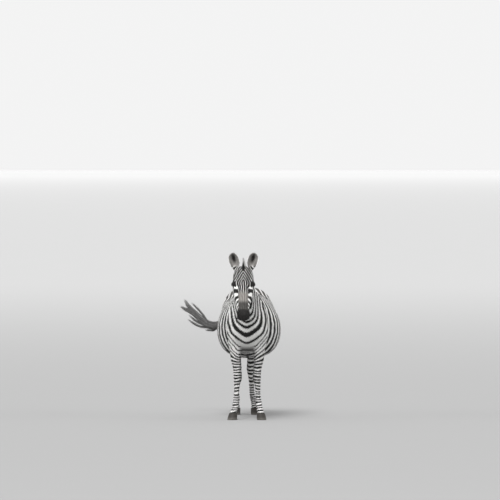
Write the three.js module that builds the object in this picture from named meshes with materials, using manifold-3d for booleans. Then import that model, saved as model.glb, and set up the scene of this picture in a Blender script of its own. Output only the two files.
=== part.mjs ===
// A plains zebra at life size, standing square with its head up and its tail flicked out to its right.
// Millimetres, +Z up. The animal faces -Y, and +X is its own left side. It is modelled about its midline
// and floor, and the finished group is then moved so that its box stands centred over the origin.
import * as THREE from "three";
import { mergeVertices } from "three/addons/utils/BufferGeometryUtils.js";
import Module from "manifold-3d";

const wasm = await Module();
wasm.setup();

// ---------------------------------------------------------------- driving dimensions
const WITHERS_Z = 1300;
const CROUP_Z = 1286;
const BELLY_Z = 582;
const BARREL_HALF = 322;
const BARREL_WIDEST_Z = 880;
const BARREL_SWAY = 15; // the full belly hangs a little to the animal's left
const BREAST_Y = -748;
const BUTTOCK_Y = 668;

const POLL = new THREE.Vector3(-40, -1010, 1512);
const HEAD_LENGTH = 560;
const HEAD_PITCH = THREE.MathUtils.degToRad(27);
const EYE_DOWN = 176;
const EYE_SIDE = 93;
const EYE_BACK = 32;
const EYE_RADIUS = 22;

const EAR_LENGTH = 188;
const EAR_HALF = 51;
const EAR_WALL = 6;
const EAR_SIDE = 64;
const EAR_SPLAY = THREE.MathUtils.degToRad(15);

const MANE_HEIGHT = 84;
const MANE_HALF = 17;
const TAIL_ROOT = new THREE.Vector3(0, 590, 1215);
const KNEE_Z = 415;
const FORE_FETLOCK_Z = 145;
const HOCK_Z = 470;
const HIND_FETLOCK_Z = 155;
const HOOF_Z = 68;
const HOOF_SOLE_HALF = 48;

const GAP = 0.4; // between neighbouring pieces
const FAR = 3600; // a block of this size reaches past the whole animal
const HEAD_BLOCK = 720; // and one of this size past the head alone

// ---------------------------------------------------------------- smooth profiles and lofts
// A curve through [t, value] pairs that never overshoots them (monotone cubic Hermite).
function smooth(pairs) {
  const step = (i) => (pairs[i + 1][1] - pairs[i][1]) / (pairs[i + 1][0] - pairs[i][0]);
  const last = pairs.length - 1;
  const slopes = pairs.map((_, i) => {
    if (i === 0) return step(0);
    if (i === last) return step(last - 1);
    const [before, after] = [step(i - 1), step(i)];
    return before * after <= 0 ? 0 : (2 * before * after) / (before + after);
  });
  return (t) => {
    let i = 0;
    while (i < last - 1 && t > pairs[i + 1][0]) i += 1;
    const width = pairs[i + 1][0] - pairs[i][0];
    const s = THREE.MathUtils.clamp((t - pairs[i][0]) / width, 0, 1);
    const rise = pairs[i + 1][1] - pairs[i][1];
    return (
      pairs[i][1] +
      s * s * (3 - 2 * s) * rise +
      width * s * (1 - s) * ((1 - s) * slopes[i] - s * slopes[i + 1])
    );
  };
}

// Rows of landmarks, each {at, ...sizes}, as one function from a place to its sizes.
function landmarks(unsorted) {
  const rows = [...unsorted].sort((a, b) => a.at - b.at);
  const names = Object.keys(rows[0]).filter((name) => name !== "at");
  const curves = names.map((name) => smooth(rows.map((row) => [row.at, row[name]])));
  return (t) => Object.fromEntries(names.map((name, i) => [name, curves[i](t)]));
}

const power = (value, exponent) => Math.sign(value) * Math.abs(value) ** exponent;

// One cross-section: a superellipse about its widest line, half wide along `across`, and reaching
// `fore` and `aft` along `along`. `pear` makes it wider towards its fore side, and `aftSquare` is
// for an aft side that is fuller or leaner than the fore side.
function section(centre, across, along, size, sides) {
  const { half, fore, aft, square = 2, aftSquare = square, pear = 0 } = size;
  return Array.from({ length: sides }, (_, i) => {
    const angle = ((i + 0.5) / sides) * 2 * Math.PI;
    const [c, s] = [Math.sin(angle), Math.cos(angle)];
    const exponent = 2 / (s > 0 ? square : aftSquare);
    const u = half * power(c, exponent) * (1 + pear * s);
    const v = (s > 0 ? fore : aft) * power(s, exponent);
    return centre.clone().addScaledVector(across, u).addScaledVector(along, v);
  });
}

// A closed body through a row of cross-sections with equally many points.
// Each end is closed by strips from point i to the point that mirrors it.
function loft(rings) {
  const sides = rings[0].length;
  const index = [];
  for (let r = 0; r < rings.length - 1; r += 1) {
    for (let i = 0; i < sides; i += 1) {
      const [a, b] = [r * sides + i, r * sides + ((i + 1) % sides)];
      index.push(a, b, b + sides, a, b + sides, a + sides);
    }
  }
  const end = (rings.length - 1) * sides;
  for (let i = 0; i < sides / 2 - 1; i += 1) {
    const [a, b, c, d] = [i, i + 1, sides - 2 - i, sides - 1 - i];
    index.push(a, d, b, b, d, c, end + a, end + b, end + d, end + b, end + c, end + d);
  }
  return new THREE.BufferGeometry().setFromPoints(rings.flat()).setIndex(index.filter(
    (_, k) => distinct(index, k - (k % 3)),
  ));
}

const distinct = (index, k) =>
  index[k] !== index[k + 1] && index[k + 1] !== index[k + 2] && index[k] !== index[k + 2];

// ---------------------------------------------------------------- solids
function solidOf(geometry, place = new THREE.Matrix4()) {
  const moved = geometry.clone().applyMatrix4(place);
  moved.deleteAttribute("normal");
  moved.deleteAttribute("uv");
  const merged = mergeVertices(moved, 1e-3);
  const triVerts = new Uint32Array([...merged.index.array].filter(
    (_, k, all) => distinct(all, k - (k % 3)),
  ));
  const vertProperties = merged.attributes.position.array;
  const made = new wasm.Manifold(new wasm.Mesh({ numProp: 3, vertProperties, triVerts }));
  if (made.volume() > 0) return made;
  for (let k = 0; k < triVerts.length; k += 3) {
    [triVerts[k], triVerts[k + 1]] = [triVerts[k + 1], triVerts[k]];
  }
  return new wasm.Manifold(new wasm.Mesh({ numProp: 3, vertProperties, triVerts }));
}

function geometryOf(solid) {
  const { numProp, numVert, vertProperties, triVerts } = solid.getMesh();
  const position = new Float32Array(numVert * 3);
  for (let i = 0; i < numVert; i += 1) {
    position.set(vertProperties.subarray(i * numProp, i * numProp + 3), i * 3);
  }
  const geometry = new THREE.BufferGeometry()
    .setAttribute("position", new THREE.BufferAttribute(position, 3))
    .setIndex(new THREE.BufferAttribute(triVerts, 1));
  geometry.computeVertexNormals();
  return geometry;
}

const largest = (solid) =>
  solid.decompose().reduce((best, one) => (one.volume() > best.volume() ? one : best));

// A box whose +Z face passes through `point`, square to `normal`, and which reaches `size` below it.
function blockBelow(point, normal, size) {
  const turn = new THREE.Quaternion().setFromUnitVectors(
    new THREE.Vector3(0, 0, 1),
    normal.clone().normalize(),
  );
  const centre = new THREE.Vector3(0, 0, -size / 2).applyQuaternion(turn).add(point);
  const place = new THREE.Matrix4().compose(centre, turn, new THREE.Vector3(1, 1, 1));
  return solidOf(new THREE.BoxGeometry(size, size, size), place);
}

// Splits a solid at a plane, leaving the gap: [the part below the plane, the rest].
function split(solid, point, normal, size) {
  const below = solid.intersect(blockBelow(point, normal, size));
  const raised = point.clone().addScaledVector(normal.clone().normalize(), GAP);
  return [below, solid.subtract(blockBelow(raised, normal, size + GAP * 2))];
}

// Cuts `piece` off where it enters `neighbour`, leaving the gap on the side that `away` points to.
function clear(piece, neighbour, away) {
  const gap = away.clone().setLength(GAP);
  return piece.subtract(neighbour.translate([gap.x, gap.y, gap.z]));
}

const X = new THREE.Vector3(1, 0, 0);
const Y = new THREE.Vector3(0, 1, 0);
const Z = new THREE.Vector3(0, 0, 1);

// ---------------------------------------------------------------- trunk
const TRUNK_SIDES = 24;
const TRUNK_RINGS = 24;
const TRUNK_END_Y = 656;
const trunkAt = landmarks([
  { at: BREAST_Y, top: 975, wide: 950, under: 925, half: 26, x: 0, square: 2, aftSquare: 2 },
  { at: -740, top: 1030, wide: 948, under: 862, half: 78, x: 0, square: 2, aftSquare: 2 }, // breast
  { at: -715, top: 1095, wide: 942, under: 792, half: 120, x: 0, square: 2, aftSquare: 2 },
  { at: -660, top: 1165, wide: 930, under: 728, half: 148, x: 0, square: 2, aftSquare: 2.1 },
  { at: -560, top: 1245, wide: 905, under: 668, half: 180, x: 0, square: 1.9, aftSquare: 2.1 },
  { at: -430, top: 1290, wide: 890, under: 626, half: 216, x: 2, square: 1.7, aftSquare: 2.1 }, // girth
  { at: -300, top: 1283, wide: 885, under: 602, half: 262, x: 7, square: 1.65, aftSquare: 2.2 },
  { at: -120, top: 1252, wide: 882, under: 587, half: 308, x: 12, square: 1.7, aftSquare: 2.4 },
  {
    at: 60, // the belly at its fullest
    top: 1243,
    wide: BARREL_WIDEST_Z,
    under: BELLY_Z,
    half: BARREL_HALF,
    x: BARREL_SWAY,
    square: 1.75,
    aftSquare: 2.4,
  },
  { at: 200, top: 1256, wide: 900, under: 594, half: 304, x: 12, square: 1.9, aftSquare: 2.3 }, // loin
  { at: 320, top: 1276, wide: 960, under: 632, half: 275, x: 6, square: 2.2, aftSquare: 2.2 }, // hip
  { at: 420, top: CROUP_Z, wide: 1030, under: 700, half: 252, x: 0, square: 2.35, aftSquare: 2.2 },
  { at: 510, top: 1266, wide: 1030, under: 740, half: 226, x: 0, square: 2.2, aftSquare: 2 },
  { at: 590, top: 1214, wide: 1015, under: 790, half: 172, x: 0, square: 2.1, aftSquare: 2 }, // dock
  { at: 635, top: 1145, wide: 1005, under: 850, half: 108, x: 0, square: 2, aftSquare: 2 },
  { at: 650, top: 1085, wide: 1000, under: 910, half: 62, x: 0, square: 2, aftSquare: 2 },
  { at: TRUNK_END_Y, top: 1020, wide: 1000, under: 980, half: 16, x: 0, square: 2, aftSquare: 2 },
]);

function trunk() {
  const rings = [];
  for (let i = 0; i <= TRUNK_RINGS; i += 1) {
    const share = 0.5 - 0.5 * Math.cos((Math.PI * i) / TRUNK_RINGS);
    const y = THREE.MathUtils.lerp(BREAST_Y, TRUNK_END_Y, (share + i / TRUNK_RINGS) / 2);
    const { top, wide, under, x, ...shape } = trunkAt(y);
    const size = { ...shape, fore: top - wide, aft: wide - under };
    rings.push(section(new THREE.Vector3(x, y, wide), X, Z, size, TRUNK_SIDES));
  }
  return solidOf(loft(rings));
}

// ---------------------------------------------------------------- neck
const NECK_SIDES = 20;
const NECK_RINGS = 9;
const CREST = new THREE.CubicBezierCurve3(
  new THREE.Vector3(0, -360, WITHERS_Z - 14),
  new THREE.Vector3(0, -560, WITHERS_Z + 40),
  new THREE.Vector3(-24, -800, 1485),
  new THREE.Vector3(POLL.x, POLL.y + 22, POLL.z - 6),
);
const THROAT = new THREE.CubicBezierCurve3(
  new THREE.Vector3(0, BREAST_Y + 38, 850),
  new THREE.Vector3(0, -770, 1000),
  new THREE.Vector3(-26, -800, 1110),
  new THREE.Vector3(POLL.x, -872, 1262),
);
const neckAt = landmarks([
  { at: 0, half: 150, pear: -0.2 },
  { at: 0.25, half: 125, pear: -0.22 },
  { at: 0.5, half: 92, pear: -0.2 },
  { at: 0.75, half: 76, pear: -0.15 },
  { at: 1, half: 70, pear: -0.1 },
]);

function neck() {
  const rings = [];
  for (let i = 0; i <= NECK_RINGS; i += 1) {
    const t = i / NECK_RINGS;
    const [crest, throat] = [CREST.getPoint(t), THROAT.getPoint(t)];
    const up = crest.clone().sub(throat);
    const reach = up.length() / 2;
    const centre = crest.clone().add(throat).multiplyScalar(0.5);
    const size = { ...neckAt(t), fore: reach, aft: reach, square: 2.1 };
    rings.push(section(centre, X, up.normalize(), size, NECK_SIDES));
  }
  return solidOf(loft(rings));
}

// ---------------------------------------------------------------- upright parts
// A body whose cross-sections lie level. Each landmark gives its height, the y of its front and back,
// the x of its middle, its half width, and how far it is turned outwards about the vertical.
function column(rows, sides, rings, side = 1) {
  const at = landmarks(rows);
  const [from, to] = [rows[0].at, rows[rows.length - 1].at];
  return loft(
    Array.from({ length: rings + 1 }, (_, i) => {
      const z = THREE.MathUtils.lerp(from, to, i / rings);
      const { front, back, x, half, turn = 0, square = 2.1, pear = 0 } = at(z);
      const across = X.clone().applyAxisAngle(Z, side * turn);
      const forward = Y.clone().negate().applyAxisAngle(Z, side * turn);
      const reach = (back - front) / 2;
      const centre = new THREE.Vector3(side * x, (front + back) / 2, z);
      const size = { half, fore: reach, aft: reach, square, pear };
      return section(centre, across, forward, size, sides);
    }),
  );
}

// ---------------------------------------------------------------- legs
const LEG_SIDES = 10;
const LEG_RINGS = 24;
const FORE_Y = -548; // the plumb line of the fore cannons
const HIND_Y = 528; // and of the hind cannons

// How each lower leg stands: the sideways place of its joints from the midline, and its toe's turn.
const STANCES = {
  front_left: { elbow: 112, knee: 91, cannon: 104, fetlock: 112, hoof: 138, toe: 0.3 },
  front_right: { elbow: 114, knee: 95, cannon: 108, fetlock: 113, hoof: 148, toe: 0.42 },
  hind_left: { elbow: 100, knee: 30, cannon: 43, fetlock: 58, hoof: 80, toe: 0.28 },
  hind_right: { elbow: 116, knee: 98, cannon: 106, fetlock: 108, hoof: 118, toe: 0.25 },
};

const foreLeg = (s) => [
  { at: 1190, front: -540, back: -400, x: 66, half: 28, turn: 0 },
  { at: 1120, front: -645, back: -345, x: 88, half: 84, turn: 0 }, // shoulder blade
  { at: 1010, front: -720, back: -340, x: 102, half: 95, turn: 0 },
  { at: 920, front: -738, back: -358, x: 110, half: 95, turn: 0 }, // point of the shoulder
  { at: 830, front: -708, back: -388, x: 117, half: 88, turn: 0 },
  { at: 755, front: -660, back: -422, x: s.elbow + 6, half: 76, turn: 0 }, // elbow
  { at: 680, front: -628, back: -462, x: s.elbow + 2, half: 61, turn: 0 },
  { at: 590, front: -606, back: -488, x: s.elbow, half: 50, turn: 0 }, // forearm
  { at: 500, front: -594, back: -503, x: s.knee + 6, half: 41, turn: 0 },
  { at: KNEE_Z + 25, front: -596, back: -510, x: s.knee, half: 42, turn: 0 },
  { at: KNEE_Z - 25, front: -594, back: -508, x: s.knee, half: 41, turn: 0 }, // knee
  { at: 340, front: -580, back: -516, x: s.knee + 8, half: 29, turn: 0 },
  { at: 250, front: FORE_Y - 29, back: FORE_Y + 29, x: s.cannon, half: 25, turn: 0.05 },
  { at: FORE_FETLOCK_Z + 40, front: -576, back: -515, x: s.cannon + 5, half: 28, turn: s.toe * 0.3 },
  { at: FORE_FETLOCK_Z, front: -588, back: -512, x: s.fetlock, half: 33, turn: s.toe * 0.6 },
  { at: 105, front: -606, back: -546, x: (s.fetlock + s.hoof) / 2 - 4, half: 29, turn: s.toe },
  { at: HOOF_Z, front: -630, back: -548, x: s.hoof - 8, half: 36, turn: s.toe },
];

const hindLeg = (s) => [
  { at: 1225, front: 340, back: 480, x: 88, half: 30, turn: 0.22 },
  { at: 1170, front: 270, back: 580, x: 108, half: 92, turn: 0.22 }, // hip
  { at: 1080, front: 232, back: 640, x: 122, half: 118, turn: 0.22 },
  { at: 960, front: 222, back: BUTTOCK_Y, x: 128, half: 121, turn: 0.22 }, // buttock
  { at: 860, front: 220, back: 655, x: 128, half: 114, turn: 0.2 },
  { at: 780, front: 240, back: 622, x: (s.elbow + 130) / 2, half: 94, turn: 0.14 }, // stifle
  { at: 710, front: 300, back: 588, x: s.elbow - 6, half: 70, turn: 0.06 },
  { at: 640, front: 372, back: 572, x: (s.elbow + s.knee) / 2, half: 53, turn: 0 }, // gaskin
  { at: 580, front: 424, back: 580, x: s.knee + 8, half: 42, turn: 0 },
  { at: 540, front: 448, back: 598, x: s.knee + 4, half: 38, turn: 0 },
  { at: HOCK_Z + 42, front: 462, back: 612, x: s.knee + 2, half: 38, turn: 0 }, // point of the hock
  { at: HOCK_Z - 5, front: 472, back: 598, x: s.knee, half: 41, turn: 0 },
  { at: 405, front: 484, back: 578, x: s.knee + 5, half: 35, turn: 0.05 },
  { at: 345, front: HIND_Y - 32, back: HIND_Y + 36, x: (s.knee + s.cannon) / 2 + 2, half: 28, turn: 0.1 },
  { at: 260, front: HIND_Y - 30, back: HIND_Y + 31, x: s.cannon, half: 26, turn: s.toe * 0.5 },
  { at: HIND_FETLOCK_Z + 38, front: 496, back: 560, x: s.cannon + 5, half: 28, turn: s.toe * 0.7 },
  { at: HIND_FETLOCK_Z, front: 488, back: 564, x: s.fetlock, half: 33, turn: s.toe },
  { at: 108, front: 468, back: 530, x: (s.fetlock + s.hoof) / 2 - 2, half: 29, turn: s.toe },
  { at: HOOF_Z, front: 444, back: 522, x: s.hoof - 6, half: 36, turn: s.toe },
];

// A hoof flares from the coronet down to a flat sole.
const hoof = (front, back, s) => [
  { at: HOOF_Z - GAP, front, back, x: s.hoof - 8, half: 38, turn: s.toe },
  { at: HOOF_Z / 2, front: front - 13, back: back - 5, x: s.hoof - 3, half: 44, turn: s.toe },
  { at: 0, front: front - 26, back: back - 8, x: s.hoof + 2, half: HOOF_SOLE_HALF, turn: s.toe },
];

// The top of the free part of a leg, which hangs clear of the body.
const freeTop = ({ fore }) => new THREE.Vector3(0, 0, fore ? 600 : 640);

// The space that the rest of a leg is cut out of the body by: outside the midline, between two level
// lines across the animal, and below a plane that rises outwards from the armpit or the groin.
function limbRegion({ fore, side }, grow) {
  const [front, back] = fore ? [-800, -430] : [232, 800];
  const [x, z] = fore ? [50, 640] : [40, 740];
  const normal = new THREE.Vector3(-side, 0, 1);
  const point = new THREE.Vector3(side * x, 0, z + grow * Math.SQRT2);
  const box = new THREE.BoxGeometry(FAR, back - front + 2 * grow, FAR);
  const middle = side * (FAR / 2 + 1 - grow);
  box.translate(middle, (front + back) / 2, 0);
  return blockBelow(point, normal, FAR).intersect(solidOf(box));
}

function legs() {
  return Object.entries(STANCES).map(([name, stance]) => {
    const side = name.endsWith("left") ? 1 : -1;
    const fore = name.startsWith("front");
    const rows = fore ? foreLeg(stance) : hindLeg(stance);
    const foot = fore ? hoof(-632, -545, stance) : hoof(438, 523, stance);
    return {
      name,
      side,
      fore,
      leg: solidOf(column(rows, LEG_SIDES, LEG_RINGS, side)),
      hoof: solidOf(column(foot, LEG_SIDES + 4, 3, side)),
    };
  });
}

// ---------------------------------------------------------------- head
// In its own frame the head hangs straight down from the poll, with its face towards -Y.
const HEAD_PLACE = new THREE.Matrix4()
  .makeTranslation(POLL.x, POLL.y, POLL.z)
  .multiply(new THREE.Matrix4().makeRotationX(-HEAD_PITCH));
const headPoint = (x, y, z) => new THREE.Vector3(x, y, z).applyMatrix4(HEAD_PLACE);
const headway = (x, y, z) => new THREE.Vector3(x, y, z).transformDirection(HEAD_PLACE);

const HEAD_ROWS = [
  { at: 6, front: -4, back: 70, x: 0, half: 46, pear: 0, square: 2 }, // poll
  { at: -20, front: -22, back: 118, x: 0, half: 76, pear: 0, square: 2.2 },
  { at: -65, front: -36, back: 180, x: 0, half: 98, pear: 0.02, square: 2.4 }, // temples
  { at: -120, front: -42, back: 222, x: 0, half: 104, pear: 0.06, square: 2.5 }, // forehead
  { at: -180, front: -40, back: 234, x: 0, half: 103, pear: 0.03, square: 2.5 }, // angle of the jaw
  { at: -240, front: -31, back: 222, x: 0, half: 97, pear: -0.06, square: 2.5 },
  { at: -310, front: -20, back: 184, x: 0, half: 83, pear: -0.12, square: 2.4 }, // end of the cheek
  { at: -380, front: -13, back: 144, x: 0, half: 65, pear: -0.1, square: 2.3 },
  { at: -445, front: -12, back: 120, x: 0, half: 57, pear: 0, square: 2.3 },
  { at: -495, front: -15, back: 114, x: 0, half: 62, pear: 0.06, square: 2.4 }, // nostrils
  { at: -532, front: -7, back: 112, x: 0, half: 60, pear: 0, square: 2.4 }, // lips
  { at: -552, front: 8, back: 102, x: 0, half: 48, pear: 0, square: 2.3 },
  { at: -HEAD_LENGTH, front: 24, back: 88, x: 0, half: 32, pear: 0, square: 2.1 },
];
const HEAD_SIDES = 20;
const HEAD_RINGS = 18;

const ball = (radius, across, down) => new THREE.SphereGeometry(radius, across, down);

// An egg-shaped swelling of the head on one side: its middle and its half sizes in the head's frame.
function swelling(side, [x, y, z], [sx, sy, sz]) {
  const place = HEAD_PLACE.clone()
    .multiply(new THREE.Matrix4().makeTranslation(side * x, y, z))
    .multiply(new THREE.Matrix4().makeScale(sx, sy, sz));
  return solidOf(ball(1, 12, 8), place);
}

function skull() {
  let made = solidOf(column(HEAD_ROWS, HEAD_SIDES, HEAD_RINGS), HEAD_PLACE);
  for (const side of [1, -1]) {
    made = made
      .add(swelling(side, [EYE_SIDE - 20, EYE_BACK - 4, -EYE_DOWN + 4], [36, 46, 44])) // orbit
      .add(swelling(side, [60, 138, -192], [43, 86, 94])) // cheek
      .add(swelling(side, [38, 10, -496], [26, 26, 34])); // wing of the nostril
  }
  return made;
}

function eyeball(radius, side) {
  const centre = headPoint(side * EYE_SIDE, EYE_BACK, -EYE_DOWN);
  return solidOf(ball(radius, 12, 8), new THREE.Matrix4().setPosition(centre));
}

// ---------------------------------------------------------------- ears
// A leaf rolled into a cup: a tube at its root that opens forwards and closes to a round tip.
const earAt = landmarks([
  { at: 0, half: 22, wrap: 2.5, back: 4 },
  { at: 0.2, half: 33, wrap: 2.15, back: 6 },
  { at: 0.45, half: EAR_HALF - 3, wrap: 1.75, back: 4 },
  { at: 0.68, half: EAR_HALF, wrap: 1.5, back: 0 },
  { at: 0.86, half: EAR_HALF - 12, wrap: 1.25, back: -4 },
  { at: 0.96, half: 22, wrap: 0.95, back: -8 },
  { at: 1, half: 7, wrap: 0.7, back: -10 },
]);
const EAR_STEPS = 7;
const EAR_RINGS = 9;

function earRing(t) {
  const { half, wrap, back } = earAt(t);
  const radius = half / Math.sin(Math.min(wrap, Math.PI / 2));
  const arc = (r) =>
    Array.from({ length: EAR_STEPS + 1 }, (_, i) => {
      const angle = wrap * ((2 * i) / EAR_STEPS - 1);
      return new THREE.Vector3(
        r * Math.sin(angle),
        back + (r * Math.cos(angle) - radius * Math.cos(wrap) * 0.5) * 0.8,
        t * EAR_LENGTH,
      );
    });
  return [...arc(radius), ...arc(radius - EAR_WALL).reverse()];
}

function ear(side) {
  const rings = Array.from({ length: EAR_RINGS + 1 }, (_, i) =>
    earRing(1 - (1 - i / EAR_RINGS) ** 1.25),
  );
  const place = new THREE.Matrix4()
    .setPosition(headPoint(side * EAR_SIDE, 24, -42))
    .multiply(new THREE.Matrix4().makeRotationY(side * EAR_SPLAY))
    .multiply(new THREE.Matrix4().makeRotationX(0.06))
    .multiply(new THREE.Matrix4().makeRotationZ(side * 0.12));
  return solidOf(loft(rings), place);
}

// ---------------------------------------------------------------- mane
const MANE_RINGS = 14;
// The hair's root line runs up the crest, over the poll and down to the forelock.
const MANE_LINE = new THREE.CatmullRomCurve3([
  CREST.getPoint(0.12),
  CREST.getPoint(0.34),
  CREST.getPoint(0.56),
  CREST.getPoint(0.78),
  CREST.getPoint(0.95),
  new THREE.Vector3(POLL.x, POLL.y - 22, POLL.z - 4),
  headPoint(0, -34, -66),
]);
const maneAt = landmarks([
  { at: 0, tall: 14, lean: -0.3 },
  { at: 0.15, tall: 58, lean: -0.1 },
  { at: 0.4, tall: MANE_HEIGHT, lean: 0.05 },
  { at: 0.7, tall: MANE_HEIGHT + 8, lean: 0.1 },
  { at: 0.88, tall: MANE_HEIGHT + 4, lean: 0.2 },
  { at: 0.94, tall: 78, lean: 0.2 },
  { at: 0.98, tall: 46, lean: 0.1 },
  { at: 1, tall: 10, lean: 0 },
]);

function mane(body) {
  const rings = [];
  for (let i = 0; i <= MANE_RINGS; i += 1) {
    const t = i / MANE_RINGS;
    const root = MANE_LINE.getPointAt(t);
    const along = MANE_LINE.getTangentAt(t);
    const { tall, lean } = maneAt(t);
    const up = X.clone().cross(along).normalize().negate();
    up.addScaledVector(along, lean).normalize();
    const size = { half: MANE_HALF, fore: tall, aft: 26, square: 2, pear: -0.45 };
    rings.push(section(root, X, up, size, 8));
  }
  return clear(solidOf(loft(rings)), body, new THREE.Vector3(0, -0.4, 1));
}

// ---------------------------------------------------------------- tail
const TAIL = new THREE.CatmullRomCurve3([
  new THREE.Vector3(TAIL_ROOT.x, TAIL_ROOT.y - 60, TAIL_ROOT.z + 10),
  new THREE.Vector3(TAIL_ROOT.x - 6, TAIL_ROOT.y + 48, TAIL_ROOT.z - 22),
  new THREE.Vector3(-62, 706, 1105),
  new THREE.Vector3(-160, 742, 990),
  new THREE.Vector3(-262, 748, 905),
  new THREE.Vector3(-330, 742, 882),
  new THREE.Vector3(-408, 734, 901),
  new THREE.Vector3(-478, 726, 959),
  new THREE.Vector3(-548, 716, 1029),
]);
const BRUSH_FROM = 0.55; // where along the tail the long hair begins
const TAIL_THICKNESS = smooth([
  [0, 34],
  [0.12, 27],
  [0.35, 18],
  [BRUSH_FROM, 17],
  [0.68, 38],
  [0.8, 47],
  [0.93, 42],
  [1, 26],
]);
// The locks that leave the brush: where each ends, and its thickness.
const LOCKS_FROM = 0.78;
const LOCKS = [
  { tip: new THREE.Vector3(-641, 700, 1148), half: 20 },
  { tip: new THREE.Vector3(-676, 708, 1082), half: 19 },
];

// A round tube along a curve; thickness(t) gives its radius, and `flat` thins it front to back.
function hose(curve, thickness, rings, sides, flat = 1) {
  return solidOf(
    loft(
      Array.from({ length: rings + 1 }, (_, i) => {
        const t = i / rings;
        const along = curve.getTangentAt(t);
        const across = Y.clone().cross(along).normalize();
        const depth = along.clone().cross(across);
        const r = thickness(t);
        const size = { half: r, fore: r * flat, aft: r * flat };
        return section(curve.getPointAt(t), across, depth, size, sides);
      }),
    ),
  );
}

// [the brush of long hair, the dock it grows from]
function tail() {
  let made = hose(TAIL, TAIL_THICKNESS, 20, 10, 0.8);
  for (const { tip, half } of LOCKS) {
    const middle = TAIL.getPointAt(0.97).lerp(tip, 0.15);
    const line = new THREE.QuadraticBezierCurve3(TAIL.getPointAt(LOCKS_FROM), middle, tip);
    made = made.add(hose(line, smooth([[0, 26], [0.5, half], [1, 3]]), 5, 8, 0.8));
  }
  const towardsRoot = TAIL.getTangentAt(BRUSH_FROM).negate();
  return split(made, TAIL.getPointAt(BRUSH_FROM), towardsRoot, 900);
}

// ---------------------------------------------------------------- assembly
const MATERIALS = {
  coat: new THREE.MeshStandardMaterial({ color: 0xd9d7d3, roughness: 0.75, metalness: 0 }),
  mane: new THREE.MeshStandardMaterial({ color: 0x3a3836, roughness: 0.8, metalness: 0 }),
  tail_hair: new THREE.MeshStandardMaterial({ color: 0x262524, roughness: 0.7, metalness: 0 }),
  hoof: new THREE.MeshStandardMaterial({ color: 0x2b2a28, roughness: 0.5, metalness: 0 }),
  eye: new THREE.MeshStandardMaterial({ color: 0x0d0b0a, roughness: 0.08, metalness: 0 }),
};

const zebra = new THREE.Group();

function place(name, solid, material) {
  const mesh = new THREE.Mesh(geometryOf(largest(solid)), material);
  mesh.name = name;
  zebra.add(mesh);
}

const limbs = legs();
let body = trunk().add(neck()).add(skull());
for (const limb of limbs) body = body.add(limb.leg.subtract(blockBelow(freeTop(limb), Z, FAR)));

place("mane", mane(body), MATERIALS.mane);
const [brush, dock] = tail();
place("tail_dock", clear(dock, body, Y), MATERIALS.coat);
place("tail_brush", brush, MATERIALS.tail_hair);
for (const side of [1, -1]) {
  const name = side > 0 ? "left" : "right";
  place(`ear_${name}`, clear(ear(side), body, headway(0, 0, 1)), MATERIALS.coat);
  place(`eye_${name}`, eyeball(EYE_RADIUS, side), MATERIALS.eye);
  body = body.subtract(eyeball(EYE_RADIUS + GAP, side));
}
for (const limb of limbs) {
  const free = limb.leg.intersect(blockBelow(freeTop(limb).add(Z), Z, FAR));
  place(`leg_${limb.name}`, body.intersect(limbRegion(limb, 0)).add(free), MATERIALS.coat);
  place(`hoof_${limb.name}`, limb.hoof, MATERIALS.hoof);
}
for (const limb of limbs) body = body.subtract(limbRegion(limb, GAP));

// The head leaves the neck behind the jaw, and the neck leaves the trunk in front of the shoulders.
const [head, headless] = split(body, headPoint(0, 45, -6), headway(0, 0.656, 0.755), HEAD_BLOCK);
const neckEnd = new THREE.Vector3(0, -500, WITHERS_Z + 30);
const [barrel, throat] = split(headless, neckEnd, new THREE.Vector3(0, -0.814, 0.581), FAR);
place("head", head, MATERIALS.coat);
place("neck", throat, MATERIALS.coat);
place("trunk", barrel, MATERIALS.coat);

const box = new THREE.Box3().setFromObject(zebra);
const middle = box.getCenter(new THREE.Vector3());
zebra.position.set(-middle.x, -middle.y, -box.min.z);

export default zebra;
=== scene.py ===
# A life-size plains zebra, standing square with its head up and its tail flicked out to its right.
# Metres, +Z up; the animal faces -Y and +X is its own left side. Every shape is worked out in the
# body frame, whose origin lies on the floor under the midline, and ORIGIN moves it into the CAD frame.
import math

import bmesh
import bpy
import numpy as np
from mathutils import Matrix, Vector


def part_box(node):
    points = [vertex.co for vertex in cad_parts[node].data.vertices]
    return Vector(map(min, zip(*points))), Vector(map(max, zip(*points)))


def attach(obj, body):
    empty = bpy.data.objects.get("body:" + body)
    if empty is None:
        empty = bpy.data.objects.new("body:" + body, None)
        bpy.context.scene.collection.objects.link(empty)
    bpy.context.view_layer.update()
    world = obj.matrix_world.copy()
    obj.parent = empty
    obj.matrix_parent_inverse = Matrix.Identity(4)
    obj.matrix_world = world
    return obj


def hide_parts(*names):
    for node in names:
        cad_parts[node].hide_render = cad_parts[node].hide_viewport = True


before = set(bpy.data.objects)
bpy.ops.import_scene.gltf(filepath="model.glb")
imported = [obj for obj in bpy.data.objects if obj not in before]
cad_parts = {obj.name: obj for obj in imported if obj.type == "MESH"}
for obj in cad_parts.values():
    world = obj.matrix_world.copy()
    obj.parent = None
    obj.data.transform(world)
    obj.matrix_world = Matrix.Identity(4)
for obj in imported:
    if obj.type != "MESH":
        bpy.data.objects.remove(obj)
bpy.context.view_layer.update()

# ---------------------------------------------------------------- driving dimensions
POLL = np.array([-0.040, -1.010, 1.512])
HEAD_PITCH = math.radians(27)
HEAD_COS, HEAD_SIN = math.cos(HEAD_PITCH), math.sin(HEAD_PITCH)
EYE = np.array([0.093, 0.032, 0.176])  # across, back from the face's line, down from the poll
EYE_RADIUS = 0.022
HEAD_END = 0.560
EAR_ROOT = np.array([0.064, 0.024, 0.042])
EAR_SPLAY = math.radians(15)
EAR_COS, EAR_SIN = math.cos(EAR_SPLAY), math.sin(EAR_SPLAY)
EAR_LENGTH = 0.188

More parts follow.
